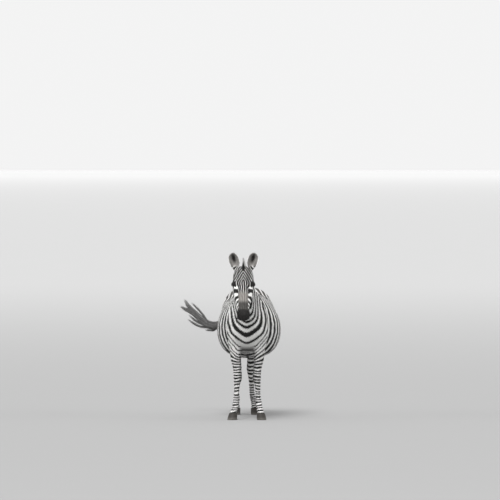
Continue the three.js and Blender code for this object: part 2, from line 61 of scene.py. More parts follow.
FEET = ("front_left", "front_right", "hind_left", "hind_right")
FLESH_FINE = ["head", "ear_left", "ear_right", "eye_left", "eye_right"]
FLESH_COARSE = ["trunk", *(f"leg_{foot}" for foot in FEET), "tail_dock"]
BODY_VOXEL = 0.0080
HEAD_VOXEL = 0.0028
SEAM_FILL = 0.0006  # closes the thin cuts between the CAD pieces before they are remeshed
# The plane between the coarse mesh and the fine one in front of it: a point and the way back.
HEAD_CUT = (np.array([0, -0.83, 1.20]), np.array([0, 0.972, 0.235]))
HEAD_CUT_ABOVE = 0.94  # the plane cuts nothing below this height
CUT_GAP = 0.006  # between the fine mesh and the coarse one, which a ring of faces bridges

CAMERA_DISTANCE = 50.6
CAMERA_HEIGHT = 2.5
CAMERA_SIDE = 0.025
CAMERA_REACH = 5000  # beyond the floor's edge
FRAME_PIXELS = 500
FOCAL_PIXELS = 5100
HORIZON_PIXEL = 165  # the horizon's row in the frame, counted from its top

rng = np.random.default_rng(7)


def find_origin():
    """The shift from the body frame into the CAD frame, read off the two eyes."""
    centres = [sum(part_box(f"eye_{side}"), Vector()) / 2 for side in ("left", "right")]
    across = (centres[0].x + centres[1].x) / 2 - POLL[0]
    eye_y = POLL[1] + EYE[1] * HEAD_COS - EYE[2] * HEAD_SIN
    return np.array([across, centres[0].y - eye_y, 0.0])


ORIGIN = find_origin()


# ---------------------------------------------------------------- small helpers
def ramp(value, low, high):
    """0 below low, 1 above high, smooth between; low may be the larger."""
    t = np.clip((value - low) / (high - low), 0, 1)
    return t * t * (3 - 2 * t)


def lerp(a, b, t):
    return a + (b - a) * t


def unit(vectors):
    return vectors / np.maximum(np.linalg.norm(vectors, axis=-1, keepdims=True), 1e-9)


def bell(value, middle, width):
    """1 at the middle, falling away smoothly on both sides."""
    return np.exp(-(((value - middle) / width) ** 2))


def soft_abs(value, radius):
    """The value's size, with its sharp turn at 0 rounded."""
    return np.sqrt(value * value + radius * radius) - radius


def soft_positive(value, radius):
    """The value where it is well above 0, and 0 where it is well below."""
    return (value + np.sqrt(value * value + radius * radius)) / 2


def soft_min(values, sharpness=5.0):
    """The least of several fields, with its creases rounded."""
    return -np.log(sum(np.exp(-sharpness * v) for v in values)) / sharpness


def bezier(controls, t):
    """The point or points at shares t of a cubic curve."""
    p = np.array(controls, float)
    t = np.asarray(t, float)[..., None]
    return (
        p[0] * (1 - t) ** 3 + 3 * p[1] * t * (1 - t) ** 2 + 3 * p[2] * t * t * (1 - t) + p[3] * t**3
    )


class Waves:
    """Smooth noise: a sum of sine waves of one rough length, running in seeded directions."""

    def __init__(self, length, count=14, seed=1):
        made = np.random.default_rng(seed)
        self.k = unit(made.normal(size=(count, 3))) * 2 * np.pi / length
        self.k *= made.uniform(0.7, 1.5, (count, 1))
        self.start = made.uniform(0, 2 * np.pi, count)

    def __call__(self, points):
        return np.sin(points @ self.k.T + self.start).sum(1) / math.sqrt(len(self.start) / 2)


def turned_to_head(directions):
    """Directions of the body frame as the head's own: across, back from the face's line, down."""
    x, y, z = directions.T
    return np.stack([x, y * HEAD_COS - z * HEAD_SIN, -(y * HEAD_SIN + z * HEAD_COS)], 1)


def to_head(points):
    """Body frame to the head's own: across, back from the face's line, down from the poll."""
    return turned_to_head(points - POLL)


def turned_from_head(directions):
    x, y, down = np.asarray(directions, float).T
    return np.stack([x, y * HEAD_COS - down * HEAD_SIN, -y * HEAD_SIN - down * HEAD_COS], -1)


def from_head(points):
    return turned_from_head(points) + POLL


# ---------------------------------------------------------------- meshes and objects
def add_object(name, data):
    made = bpy.data.objects.new(name, data)
    bpy.context.scene.collection.objects.link(made)
    return made


def mesh_from(surface, name):
    """A bmesh as a new mesh; the bmesh is freed."""
    mesh = bpy.data.meshes.new(name)
    surface.to_mesh(mesh)
    surface.free()
    return mesh


def take_in(surface, other):
    """Adds one bmesh to another and frees it."""
    lent = mesh_from(other, "lent")
    surface.from_mesh(lent)
    bpy.data.meshes.remove(lent)


def mesh_object(name, points, faces):
    """A new smooth object from body-frame points and equal-sided faces."""
    mesh = bpy.data.meshes.new(name)
    sides = faces.shape[1]
    mesh.vertices.add(len(points))
    mesh.vertices.foreach_set("co", (points + ORIGIN).astype(np.float32).ravel())
    mesh.loops.add(faces.size)
    mesh.loops.foreach_set("vertex_index", faces.astype(np.int32).ravel())
    mesh.polygons.add(len(faces))
    mesh.polygons.foreach_set("loop_start", np.arange(len(faces), dtype=np.int32) * sides)
    mesh.polygons.foreach_set("use_smooth", np.ones(len(faces), bool))
    mesh.update(calc_edges=True)
    return add_object(name, mesh)


def set_attribute(mesh, name, values):
    mesh.attributes.new(name, "FLOAT", "POINT").data.foreach_set(
        "value", np.asarray(values, np.float32)
    )


def triangle_areas(points, triangles):
    a, b, c = (points[triangles[:, i]] for i in range(3))
    return np.linalg.norm(np.cross(b - a, c - a), axis=1) / 2


def vertex_normals(points, triangles):
    a, b, c = (points[triangles[:, i]] for i in range(3))
    face = np.cross(b - a, c - a)
    total = np.zeros_like(points)
    for corner in triangles.T:
        for k in range(3):
            total[:, k] += np.bincount(corner, face[:, k], len(points))
    return unit(total)


def relaxed(points, edges, weight, rounds):
    """Each round moves every point by its weight towards the mean of its neighbours."""
    a, b = edges.T
    count = len(points)
    degree = np.maximum(np.bincount(edges.ravel(), minlength=count), 1)
    for _ in range(rounds):
        mean = np.stack(
            [
                (np.bincount(a, points[b, k], count) + np.bincount(b, points[a, k], count)) / degree
                for k in range(3)
            ],
            1,
        )
        points = points + weight[:, None] * (mean - points)
    return points


# ---------------------------------------------------------------- one skin over all the flesh
def remeshed(names, voxel):
    """One closed voxel surface round several CAD pieces, as a bmesh in the body frame."""
    joined = bmesh.new()
    for name in names:
        piece = bmesh.new()
        piece.from_mesh(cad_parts[name].data)
        bmesh.ops.remove_doubles(piece, verts=piece.verts, dist=1e-5)
        piece.normal_update()
        for vertex in piece.verts:
            vertex.co += vertex.normal * SEAM_FILL - Vector(ORIGIN)
        take_in(joined, piece)
    mesh = mesh_from(joined, "flesh")
    source = add_object("flesh", mesh)
    remesh = source.modifiers.new("Remesh", "REMESH")
    remesh.mode = "VOXEL"
    remesh.voxel_size = voxel
    graph = bpy.context.evaluated_depsgraph_get()
    made = bmesh.new()
    made.from_mesh(source.evaluated_get(graph).to_mesh())
    bpy.data.objects.remove(source)
    bpy.data.meshes.remove(mesh)
    return made


def cut(surface, point, normal, drop_front):
    """Opens the neck at a plane, and drops what lies in front of it or behind it."""
    lowest = HEAD_CUT_ABOVE
    bmesh.ops.bisect_plane(
        surface,
        geom=[
            item
            for items in (surface.verts, surface.edges, surface.faces)
            for item in items
            if min(v.co.z for v in getattr(item, "verts", [item])) > lowest
        ],
        plane_co=Vector(point),
        plane_no=Vector(normal),
    )
    side = -1 if drop_front else 1
    dropped = []
    for face in surface.faces:
        middle = face.calc_center_median()
        if side * (middle - Vector(point)).dot(Vector(normal)) > 0 and middle.z > lowest:
            dropped.append(face)
    bmesh.ops.delete(surface, geom=dropped, context="FACES")


def flesh_surface():
    """The whole body at BODY_VOXEL, bridged to the head and ears at HEAD_VOXEL."""
    point, normal = HEAD_CUT
    fine = remeshed(FLESH_FINE + ["neck"], HEAD_VOXEL)
    cut(fine, point - normal * CUT_GAP, normal, False)
    coarse = remeshed(FLESH_FINE + ["neck"] + FLESH_COARSE, BODY_VOXEL)
    cut(coarse, point, normal, True)
    take_in(coarse, fine)
    rims = [edge for edge in coarse.edges if edge.is_boundary]
    bmesh.ops.bridge_loops(coarse, edges=rims)
    bmesh.ops.triangulate(coarse, faces=[f for f in coarse.faces if len(f.verts) > 4])
    bmesh.ops.recalc_face_normals(coarse, faces=coarse.faces)
    return coarse


def refine(surface, centre, radius, times):
    """Splits the faces within a radius of a point, each time over a slightly smaller ball."""
    for _ in range(times):
        near = {v for v in surface.verts if (v.co - centre).length_squared < radius * radius}
        edges = {e for v in near for e in v.link_edges if e.other_vert(v) in near}
        bmesh.ops.subdivide_edges(surface, edges=list(edges), cuts=1, use_grid_fill=True)
        radius -= 2 * HEAD_VOXEL


def arrays_of(surface):
    """A bmesh as points, triangles and edges."""
    surface.verts.index_update()
    points = np.array([v.co for v in surface.verts])
    edges = np.array([(e.verts[0].index, e.verts[1].index) for e in surface.edges])
    triangles = []
    for face in surface.faces:
        corners = [v.index for v in face.verts]
        triangles += [(corners[0], corners[i], corners[i + 1]) for i in range(1, len(corners) - 1)]
    return points, np.array(triangles), edges


# ---------------------------------------------------------------- shaping the skin
COAT_DEPTH_BODY = 0.0045
COAT_DEPTH_LEG = 0.0022
COAT_DEPTH_FACE = 0.0012
LEG_TOP_Z = 0.72
SKIN_ROUNDS = 56
# How far the rounding of the facets spreads, in metres.
ROUNDING_BODY = 0.030
ROUNDING_LEG = 0.0075
ROUNDING_TAIL = 0.010
ROUNDING_HEAD = 0.008
ROUNDING_EAR = 0.003


def head_share(points):
    """1 on the head and ears, 0 on the neck behind the jaw."""
    point, normal = HEAD_CUT
    return ramp((points - point) @ normal, 0.01, -0.03) * ramp(points[:, 2], 0.90, 0.94)


def ear_share(points):
    across = np.abs(to_head(points)[:, 0])
    return ramp(points[:, 2], 1.50, 1.53) * ramp(across, 0.03, 0.045)


def leg_share(points):
    return ramp(points[:, 2], LEG_TOP_Z + 0.06, LEG_TOP_Z - 0.14)


def tail_share(points):
    return ramp(points[:, 1], 0.655, 0.675) * ramp(points[:, 2], 0.80, 0.82)


def relaxed_skin(points, edges):
    """Rounds off the facets: broadly on the trunk, and hardly at all on the feet, ears and face."""
    on_head = head_share(points)
    reach = lerp(ROUNDING_BODY, ROUNDING_LEG, leg_share(points))
    reach = lerp(reach, ROUNDING_TAIL, tail_share(points))
    reach = lerp(reach, ROUNDING_HEAD, on_head)
    reach = lerp(reach, ROUNDING_EAR, ear_share(points))
    spacing = lerp(BODY_VOXEL, HEAD_VOXEL, on_head)
    weight = np.clip(2 * (reach / spacing) ** 2 / SKIN_ROUNDS, 0, 0.9)
    return relaxed(points, edges, weight, SKIN_ROUNDS)


# The swellings of the face and the hollows between them: where, how wide, and how far out (or in).
FACE_FORMS = [
    ((0.090, 0.006, 0.146), (0.020, 0.024, 0.013), 0.0045),  # brow
    ((0.084, 0.048, 0.112), (0.030, 0.028, 0.022), -0.0055),  # hollow above the eye
    ((0.080, 0.004, 0.226), (0.018, 0.018, 0.030), -0.0030),  # hollow in front of the eye
    ((0.084, 0.052, 0.250), (0.014, 0.010, 0.045), 0.0040),  # crest of the cheekbone
    ((0.066, 0.044, 0.320), (0.012, 0.010, 0.045), 0.0030),
    ((0.048, 0.012, 0.330), (0.012, 0.014, 0.070), -0.0030),  # side of the nose
    ((0.000, -0.030, 0.130), (0.035, 0.030, 0.050), 0.0030),  # forehead
    ((0.052, 0.012, 0.512), (0.014, 0.020, 0.028), 0.0035),  # wing of the nostril
    ((0.000, 0.110, 0.515), (0.026, 0.016, 0.022), 0.0060),  # chin
    ((0.020, 0.036, 0.556), (0.022, 0.014, 0.012), 0.0030),  # upper lip
    ((0.030, 0.085, 0.548), (0.022, 0.010, 0.014), 0.0025),  # lower lip
]
NOSTRIL = np.array([0.041, -0.004, 0.500])
NOSTRIL_HALF = (0.0085, 0.019)
LID_THICKNESS = 0.0026
EYE_AXIS = unit(np.array([0.88, -0.47, 0.05]))
EYE_OPENING = (0.0212, 0.0168, 0.0122)  # half length, then reach to the upper and the lower lid
EYE_SUNK = 0.011  # how far the skin sinks behind the ball inside the opening
MOUTH_CORNER = 0.470  # down the face
MOUTH_DEPTH = 0.0055
NOSTRIL_DEPTH = 0.013


def eye_frame():
    """The eye's outward, lengthwise and jawward directions in the head's frame."""
    jawward = unit(np.cross([0, 0, 1], EYE_AXIS))
    return EYE_AXIS, np.cross(EYE_AXIS, jawward), jawward


def shape_eye(head):
    """Draws the skin over the eyeball as lids, and sinks it inside the opening between them."""
    out, along, jawward = eye_frame()
    rel = head - EYE
    depth, u, v = rel @ out, rel @ along, rel @ jawward
    length, upper, lower = EYE_OPENING
    reach = np.where(v < 0, upper, lower) * (1 - np.minimum((u / length) ** 2, 1))
    edge = np.abs(v) - reach + 0.004 * np.maximum(np.abs(u) - length, 0) / length
    edge = np.where(np.abs(u) < length, edge, np.hypot(v, np.abs(u) - length))
    around = ramp(np.hypot(u, v), 0.036, 0.023) * ramp(depth, -0.004, 0.006)
    rim = 0.0012 * bell(edge, 0.0016, 0.0018)  # the lids' swollen margins
    crease = -0.0016 * bell(edge, 0.0075, 0.0020) * (v < 0)
    target = EYE_RADIUS + LID_THICKNESS + rim + crease - EYE_SUNK * ramp(edge, 0.0004, -0.0012)
    return head + around[:, None] * (EYE + unit(rel) * target[:, None] - head)


def shape_face(head, normals):
    """The folds of the face. The caller mirrors the right side onto the left."""
    x, y, down = head.T
    push = np.zeros(len(head))
    for centre, size, amount in FACE_FORMS:
        push += amount * np.exp(-((((head - centre) / size) ** 2).sum(1)))
    across, along = (x - NOSTRIL[0]) - 0.45 * (down - NOSTRIL[2]), down - NOSTRIL[2]
    hole = np.hypot(across / NOSTRIL_HALF[0], along / NOSTRIL_HALF[1])
    at_nostril = ramp(np.abs(y - NOSTRIL[1]), 0.035, 0.022)
    push += at_nostril * (0.0025 * bell(hole, 1.25, 0.3) - NOSTRIL_DEPTH * ramp(hole, 1.05, 0.45))
    line = 0.062 + 0.022 * (HEAD_END - down) / (HEAD_END - MOUTH_CORNER)
    at_mouth = ramp(down, MOUTH_CORNER - 0.006, MOUTH_CORNER + 0.010)
    push -= MOUTH_DEPTH * at_mouth * bell(y, line, 0.0034)
    push += 0.0016 * at_mouth * bell(np.abs(y - line), 0.010, 0.006)
    return head + normals * push[:, None]


def rounded_ears(points):
    """The ears, a little broader below their tips than the solid's few facets make them."""
    head = to_head(points)
    across, _, along = to_ear(head)
    wider = 0.10 * bell(along, 0.45, 0.24) + 0.06 * bell(along, 0.82, 0.10)
    wider *= ear_share(points) * across
    side = np.sign(head[:, 0])
    return points + np.stack([side * wider * EAR_COS, np.zeros(len(points)), -wider * EAR_SIN], 1)


def sculpted_head(points, normals):
    """The skin with its face, nostrils, mouth and lids."""
    near = head_share(points) > 0.02
    mirror = np.where(points[near, 0] < POLL[0], -1.0, 1.0)[:, None] * [1, 0, 0] + [0, 1, 1]
    head = to_head(points[near]) * mirror
    turned = turned_to_head(normals[near]) * mirror
    shaped = shape_eye(shape_face(head, turned)) * mirror
    points = points.copy()
    points[near] = from_head(shaped)
    return points


def coat_depth(points):
    depth = lerp(COAT_DEPTH_BODY, COAT_DEPTH_LEG, leg_share(points))
    return lerp(depth, COAT_DEPTH_FACE, head_share(points))


# ---------------------------------------------------------------- markings
# Every field below counts dark stripes: a whole number is the middle of a dark stripe.
CREST = [(0, -0.36, 1.286), (0, -0.56, 1.34), (-0.024, -0.80, 1.485), (-0.040, -0.988, 1.506)]
NECK_STRIPES = 10
NECK_LOW = ((-0.745, 0.90), (-0.885, 1.19))  # the stripes' ends along the throat, as (y, z)
# The stripes of the shoulder: each one's place on the back and low on the flank, as (y, z). The
# last is the shoulder's stem stripe, from which the stripes are counted backwards.
SHOULDER_STRIPES = [
    ((-0.50, 1.33), (-0.69, 0.86)),
    ((-0.43, 1.31), (-0.60, 0.86)),
    ((-0.36, 1.29), (-0.52, 0.86)),
]
BARREL_FROM = ((-0.285, 1.28), (-0.440, 0.70))  # the next stripe behind it, in the same terms
BARREL_TO = ((0.30, 1.27), (0.30, 0.60))  # the flank's stem stripe
BARREL_STRIPES = 8  # from the shoulder's stem stripe to the flank's
LAST_STRIPE = 14  # the count goes on to this one, behind the flank's
# The chevrons of the breast and the bands below them: height at the midline, how far out they stay
# level, their rise for each metre outwards from there, and how far out they turn upright.
CHEVRONS = [
    (1.10, 0.0, 0.50, 0.020),
    (1.02, 0.0, 0.50, 0.040),
    (0.962, 0.0, 0.55, 0.066),
    (0.918, 0.0, 0.58, 0.094),
    (0.842, 0.0, 0.62, 0.126),
    (0.757, 0.0, 0.60, 0.150),
    (0.715, 0.065, 1.15, 0.19),
    (0.680, 0.065, 1.15, 0.23),
    (0.650, 0.065, 1.05, 0.30),
    (0.622, 0.065, 0.85, 0.30),
    (0.598, 0.065, 0.60, 0.30),
    (0.576, 0.065, 0.30, 0.30),
    (0.553, 0.065, 0.08, 0.30),
    (0.524, 0.065, 0.0, 0.30),
]
CHEVRONS_ABOVE = 6  # the shoulder's fork
BREAST_CHEVRONS = 5
UPRIGHT_RISE = (9.0, 5.0)  # once turned upright: of the BREAST_CHEVRONS, and of those below
CHEVRON_SPACING = 0.25  # above the highest of them
ARMS_MEET = 0.088  # how far out the chevrons' arms draw together up the neck
ARMS_CLOSER = 0.75  # how strongly they do
SHIN_STRIPES = 17  # below the last of the chevrons
SHIN_SPACING = (0.0315, 0.0004)  # of the first, and how much closer each next one is
CHEVRON_REACH = 3  # how many stripes the chevrons' arms reach into the neck's own
NECK_FREE = (0.05, 0.17)  # from how far below the crest they do, and by how far they do wholly
STEM_HALF = 0.30  # of the shoulder's stem stripe, as a share of the stripes' spacing
HIND_ARC = 1.6  # how strongly the haunch's bands curve down towards the flank
HIND_REAR_Y = 0.66
HIND_CLOSEST, HIND_SPREAD = 0.013, 0.062  # the bands' spacing is closest + spread * height
HAUNCH_TOP = 1.216
RUMP_HEIGHT = 1.27
RUMP_FROM_Z = 1.13  # the rump's top has lengthwise bands above this height
RUMP_BAND = 0.0  # the first dark one's distance from the spine, at the tail
RUMP_FAN = 0.5  # how strongly they part towards the loin
RUMP_SPACING = 0.066
WANDER_BROAD = Waves(0.34, seed=3)
WANDER_FINE = Waves(0.09, seed=4)
WANDER_FACE = Waves(0.05, seed=5)


def between(signed, first):
    """A running count of the stripes passed, from one signed distance for each."""
    behind, ahead = np.maximum(signed[:-1], 0), np.maximum(-signed[1:], 0)
    return first + (behind / (behind + ahead + 1e-9)).sum(0)


def line_distance(points, top, low):
    """How far behind a line of the side view each point lies."""
    top, low = np.array(top), np.array(low)
    along = unit(top - low)
    y, z = points[:, 1] - low[0], points[:, 2] - low[1]
    return y * along[1] - z * along[0]


def stripe_at(level, stripes):
    """1 where the level is one of the dark stripes', -1 halfway between two."""
    return np.cos(2 * np.pi * np.interp(level, stripes, range(len(stripes))))


def transverse_count(points):
    """Stripes across the neck and barrel, counted from the shoulder's stem stripe backwards."""
    lines = []
    for k in range(NECK_STRIPES + 2, 2, -1):
        top = bezier(CREST, np.array(k / NECK_STRIPES))
        low = lerp(*map(np.array, NECK_LOW), (k - 3) / (NECK_STRIPES - 3))
        lines.append((top[1:], low))
    lines += SHOULDER_STRIPES
    for k in range(LAST_STRIPE):
        t = k / (BARREL_STRIPES - 1)
        lines.append([lerp(np.array(a), np.array(b), t) for a, b in zip(BARREL_FROM, BARREL_TO)])
    upright = points.copy()  # below the flank's lowest named point the stripes drop straight down
    upright[:, 2] = np.maximum(points[:, 2], BARREL_FROM[1][1])
    signed = np.stack([line_distance(upright, top, low) for top, low in lines])
    return between(signed, -NECK_STRIPES - 2)


def fore_count(points):
    """Chevrons of the breast and bands of the forelegs: positive below the shoulder's fork."""
    x, _, z = points.T
    middle = -0.006 - 0.018 * ramp(z, 0.98, 1.20)  # the neck turns a little to the right
    across = soft_abs(x - middle, 0.020)
    across += ARMS_CLOSER * ramp(z, 0.95, 1.20) * (across - ARMS_MEET)
    levels = []
    for k, (height, level_out, rise, turn) in enumerate(CHEVRONS):
        upright = UPRIGHT_RISE[0 if k < BREAST_CHEVRONS else 1]
        sloping = rise * soft_positive(across - level_out, 0.012)
        levels.append(height + sloping + upright * soft_positive(across - turn, 0.012) - z)
    lowest = CHEVRONS[-1][0]
    for k in range(SHIN_STRIPES):
        lowest -= SHIN_SPACING[0] - SHIN_SPACING[1] * k
        levels.append(lowest - z)
    above = np.maximum(-levels[0], 0) / CHEVRON_SPACING
    return between(np.stack(levels), -CHEVRONS_ABOVE) - above


def hind_count(points):
    """Bands of the haunches and hind legs: positive below the flank's fork."""
    _, y, z = points.T
    arc = HIND_ARC * ramp(z, 0.30, 0.80)
    height = z + arc * np.maximum(HIND_REAR_Y - y, 0) ** 2
    spacing = HIND_CLOSEST + HIND_SPREAD * np.maximum(height, 0.02)
    return np.log((HIND_CLOSEST + HIND_SPREAD * HAUNCH_TOP) / spacing) / HIND_SPREAD


def below_crest(points):
    """How far below the line of the neck's crest each point lies."""
    crest = bezier(CREST, np.linspace(0, 1, 20))[::-1]
    return np.interp(points[:, 1], crest[:, 1], crest[:, 2]) - points[:, 2]


def rump_top(points):
    """(how far the lengthwise bands of the rump's top rule a point, their count there)"""
    x, y, z = points.T
    share = ramp(y, 0.02, 0.22) * ramp(z, RUMP_FROM_Z, RUMP_FROM_Z + 0.07)
    rolled = np.abs(x) + 0.35 * (RUMP_HEIGHT - z) - RUMP_FAN * np.maximum(0.50 - y, 0) ** 1.5
    return share, (rolled - RUMP_BAND) / RUMP_SPACING


def body_stripes(points):
    """The stripes of the neck, trunk and legs: 1 mid-way across a dark one, -1 across a light one."""
    calm = 1 - 0.65 * ramp(points[:, 1], -0.50, -0.62) * ramp(points[:, 2], 0.70, 0.78)
    wander = (WANDER_BROAD(points) * 0.010 + WANDER_FINE(points) * 0.0035) * calm
    moved = points + wander[:, None] * np.array([0.3, 1.0, 0.8])
    across, fore, hind = transverse_count(moved), fore_count(moved), hind_count(moved)
    ahead = across < 0  # in front of the shoulder's stem stripe
    reach = np.round(CHEVRON_REACH * ramp(below_crest(moved), *NECK_FREE))
    breast = np.where(fore > 0, fore, soft_min([np.abs(across) + reach, -fore]))
    forked = soft_min([np.abs(across), np.abs(across - BARREL_STRIPES), -hind])
    flank = np.where(hind > 0, hind, forked)
    chest = ahead * ramp(moved[:, 2], 0.62, 0.70) * ramp(moved[:, 1], -0.40, -0.52)
    chest *= ramp(moved[:, 2], 1.15, 1.0) * ramp(np.abs(moved[:, 0]), 0.245, 0.200)
    broad = bell(breast, 2, 0.45) * (fore < 0)  # the boldest chevron
    thinner = lerp(0.36, 0.80, ramp(moved[:, 2], 0.92, 0.82))
    stripe = np.cos(2 * np.pi * np.where(ahead, breast, flank))
    stripe += chest * (0.30 * broad - thinner * (1 - broad))
    pale = ramp(np.abs(moved[:, 0]), 0.095, 0.055) * ramp(moved[:, 2], 0.735, 0.715)
    stripe -= chest * 0.5 * pale
    stem = np.cos(np.pi / 2 * np.minimum(np.abs(across) / STEM_HALF, 2))
    stripe = np.where(moved[:, 2] > LEG_TOP_Z - 0.14, np.maximum(stripe, stem), stripe)
    share, lengthwise = rump_top(moved)
    return lerp(stripe, np.cos(2 * np.pi * lengthwise) + 0.30, share)


FACE_WIDEST = 0.185  # how far down the face its diamonds are widest
FACE_STRIPES = [-0.012, 0.0115, 0.0320, 0.055, 0.080, 0.107, 0.133, 0.160, 0.190, 0.220]
CHEEK_STRIPES = [0.02, 0.10, 0.185, 0.268, 0.325, 0.374, 0.415, 0.455, 0.498]


def face_stripes(head):
    """Lengthwise stripes of the nose, opening into nested diamonds on the forehead."""
    x, _, down = head.T
    across = np.abs(x)
    below = down - FACE_WIDEST
    narrowing = np.where(below < 0, -0.60 * below, 0.37 * below * ramp(across, 0.02, 0.05))
    return stripe_at(across + soft_abs(narrowing, 0.006), FACE_STRIPES)


def cheek_stripes(head):
    """Stripes across the cheek, which slant towards the nose."""
    x, y, down = head.T
    slant = lerp(0.8, -0.5, ramp(down, 0.26, 0.37))
    level = down + slant * (np.abs(x) - 0.06) * ramp(y, 0.10, 0.03) + 0.25 * np.maximum(y - 0.05, 0)
    return stripe_at(level, CHEEK_STRIPES)


def head_stripes(points):
    """The stripes of the face and cheeks, in the same terms as body_stripes."""
    head = to_head(points) + WANDER_FACE(points)[:, None] * 0.0016
    x, y, down = head.T
    nose_edge = lerp(0.060, 0.045, ramp(down, 0.22, 0.30))
    cheek = ramp(down, 0.205, 0.225) * ramp(np.abs(x), nose_edge - 0.006, nose_edge + 0.006)
    cheek = np.maximum(cheek, ramp(y, 0.075, 0.095))
    bold = ramp(np.abs(np.abs(x) - 0.046), 0.028, 0.016) * ramp(down, 0.30, 0.22)
    return lerp(face_stripes(head) + 0.54 + 0.12 * bold, cheek_stripes(head) - 0.10, cheek)


def to_ear(head):
    """The head's frame to the nearer ear's: across it, behind its middle, share of its length."""
    x = np.abs(head[:, 0]) - EAR_ROOT[0]
    y, down = head[:, 1] - EAR_ROOT[1], head[:, 2] - EAR_ROOT[2]
    back, up = y * HEAD_COS - down * HEAD_SIN, -y * HEAD_SIN - down * HEAD_COS
    return x * EAR_COS - up * EAR_SIN, back, (x * EAR_SIN + up * EAR_COS) / EAR_LENGTH


def ear_markings(points, inside):
    """(soot, grey) of the ears: a dark core and pale rims inside, a dark tip and band outside."""
    across, _, along = to_ear(to_head(points))
    core = ramp(np.hypot((across + 0.004) / 0.026, (along - 0.70) / 0.30), 1.25, 0.30)
    depth = ramp(np.abs(across), 0.047, 0.030) * ramp(along, 0.985, 0.93)
    outer = np.maximum(ramp(along, 0.76, 0.80), ramp(np.abs(along - 0.42), 0.10, 0.07))
    return lerp(outer, 0.97 * core, inside), inside * 0.88 * depth


def markings(points, normals):
    """(stripe, soot, grey): the stripes, what is black whatever they say, and what is grey."""
    head = to_head(points)
    x, y, down = head.T
    on_head, on_ear = head_share(points), ear_share(points)
    stripe = lerp(body_stripes(points), head_stripes(points), on_head)
    inside = ramp(normals[:, 1], 0.25, -0.15)
    ear_soot, ear_grey = ear_markings(points, inside)
    across = np.abs(x)
    muzzle = ramp(down, 0.425, 0.470)
    bridge = ramp(down, 0.36, 0.40) * ramp(across, 0.052, 0.040) * ramp(y, 0.05, 0.02)
    poll = ramp(down, 0.022, 0.008) * ramp(across, 0.030, 0.018) * ramp(points[:, 2], 1.40, 1.45)
    eye_x, eye_y, eye_down = EYE
    patch = np.hypot((down - eye_down - 0.001) / 0.031, (across - eye_x) / 0.032)
    patch = ramp(np.hypot(patch, (y - eye_y) / 0.055), 1.05, 0.9)
    off_midline, body_y, body_z = np.abs(points[:, 0]), points[:, 1], points[:, 2]
    breast = ramp(off_midline, 0.095, 0.045) * ramp(body_y, -0.52, -0.58)
    breast *= ramp(body_z + 0.006 * WANDER_FINE(points), 0.745, 0.685)
    spine = ramp(off_midline, 0.020, 0.010) * ramp(body_z, 1.10, 1.14) * ramp(body_y, -0.42, -0.36)
    belly = ramp(off_midline, 0.018, 0.008) * ramp(body_z, 0.76, 0.72)
    belly *= ramp(np.abs(body_y), 0.42, 0.36)
    lines = np.maximum(spine, belly)
    face = np.maximum.reduce([muzzle, bridge * 0.80, patch, poll]) * on_head
    soot = np.maximum.reduce([face, breast * 0.78, lines])
    grey = 0.75 * ramp(down, 0.25, 0.31) * ramp(across, 0.055, 0.04) * on_head * (1 - on_ear)
    grey = np.maximum(grey, 0.30 * rump_top(points)[0] * ramp(stripe, -0.35, -0.10))
    stripe = lerp(stripe, -1.0, on_ear)
    return stripe, lerp(soot, ear_soot, on_ear), lerp(grey, ear_grey, on_ear)


# ---------------------------------------------------------------- materials
class Shader:
    """A node material, built call by call round its Principled shader."""

    def __init__(self, name):
        self.material = bpy.data.materials.new(name)
        self.material.use_nodes = True
        self.tree = self.material.node_tree
        self.surface = self.tree.nodes["Principled BSDF"]

    def node(self, kind, **settings):
        made = self.tree.nodes.new(kind)
        for key, value in settings.items():
            setattr(made, key, value)
        return made

    def link(self, source, target):
        self.tree.links.new(source, target)

    def attribute(self, name):
        return self.node("ShaderNodeAttribute", attribute_name=name).outputs["Fac"]

    def feed(self, socket, value):
        if isinstance(value, bpy.types.NodeSocket):
            self.link(value, socket)
        else:
            socket.default_value = value

    def math(self, operation, *values):
        made = self.node("ShaderNodeMath", operation=operation)
        for socket, value in zip(made.inputs, values):
            self.feed(socket, value)
        return made.outputs[0]

    def noise(self, scale, detail, stretch=None):
        made = self.node("ShaderNodeTexNoise")
        made.inputs["Scale"].default_value = scale
        made.inputs["Detail"].default_value = detail
        coordinates = self.node("ShaderNodeTexCoord").outputs["Object"]
        if stretch:
            mapping = self.node("ShaderNodeMapping")
            mapping.inputs["Scale"].default_value = stretch
            self.link(coordinates, mapping.inputs["Vector"])
            coordinates = mapping.outputs["Vector"]
        self.link(coordinates, made.inputs["Vector"])
        return made.outputs["Fac"]

    def spread(self, value, low, high):
        """0 below low, 1 above high, smooth between; low may be the larger."""
        made = self.node("ShaderNodeMapRange", interpolation_type="SMOOTHSTEP")
        for socket, given in zip(made.inputs, (value, low, high)):
            self.feed(socket, given)
        return made.outputs[0]

    def mix(self, share, a, b):
        made = self.node("ShaderNodeMix", data_type="RGBA")
        self.feed(made.inputs[0], share)
        self.feed(made.inputs[6], a)
        self.feed(made.inputs[7], b)
        return made.outputs[2]

    def set(self, **values):
        for key, value in values.items():
            self.feed(self.surface.inputs[key.replace("_", " ")], value)

    def bump(self, height, distance, strength):
        made = self.node("ShaderNodeBump")
        made.inputs["Distance"].default_value = distance
        made.inputs["Strength"].default_value = strength
        self.link(height, made.inputs["Height"])
        self.link(made.outputs["Normal"], self.surface.inputs["Normal"])


MARKS = ("stripe", "soot", "grey")
BLACK = (0.012, 0.0112, 0.0106, 1)
WHITE = (0.92, 0.915, 0.905, 1)
OFF_WHITE = (0.83, 0.823, 0.810, 1)
GREY = (0.23, 0.215, 0.20, 1)


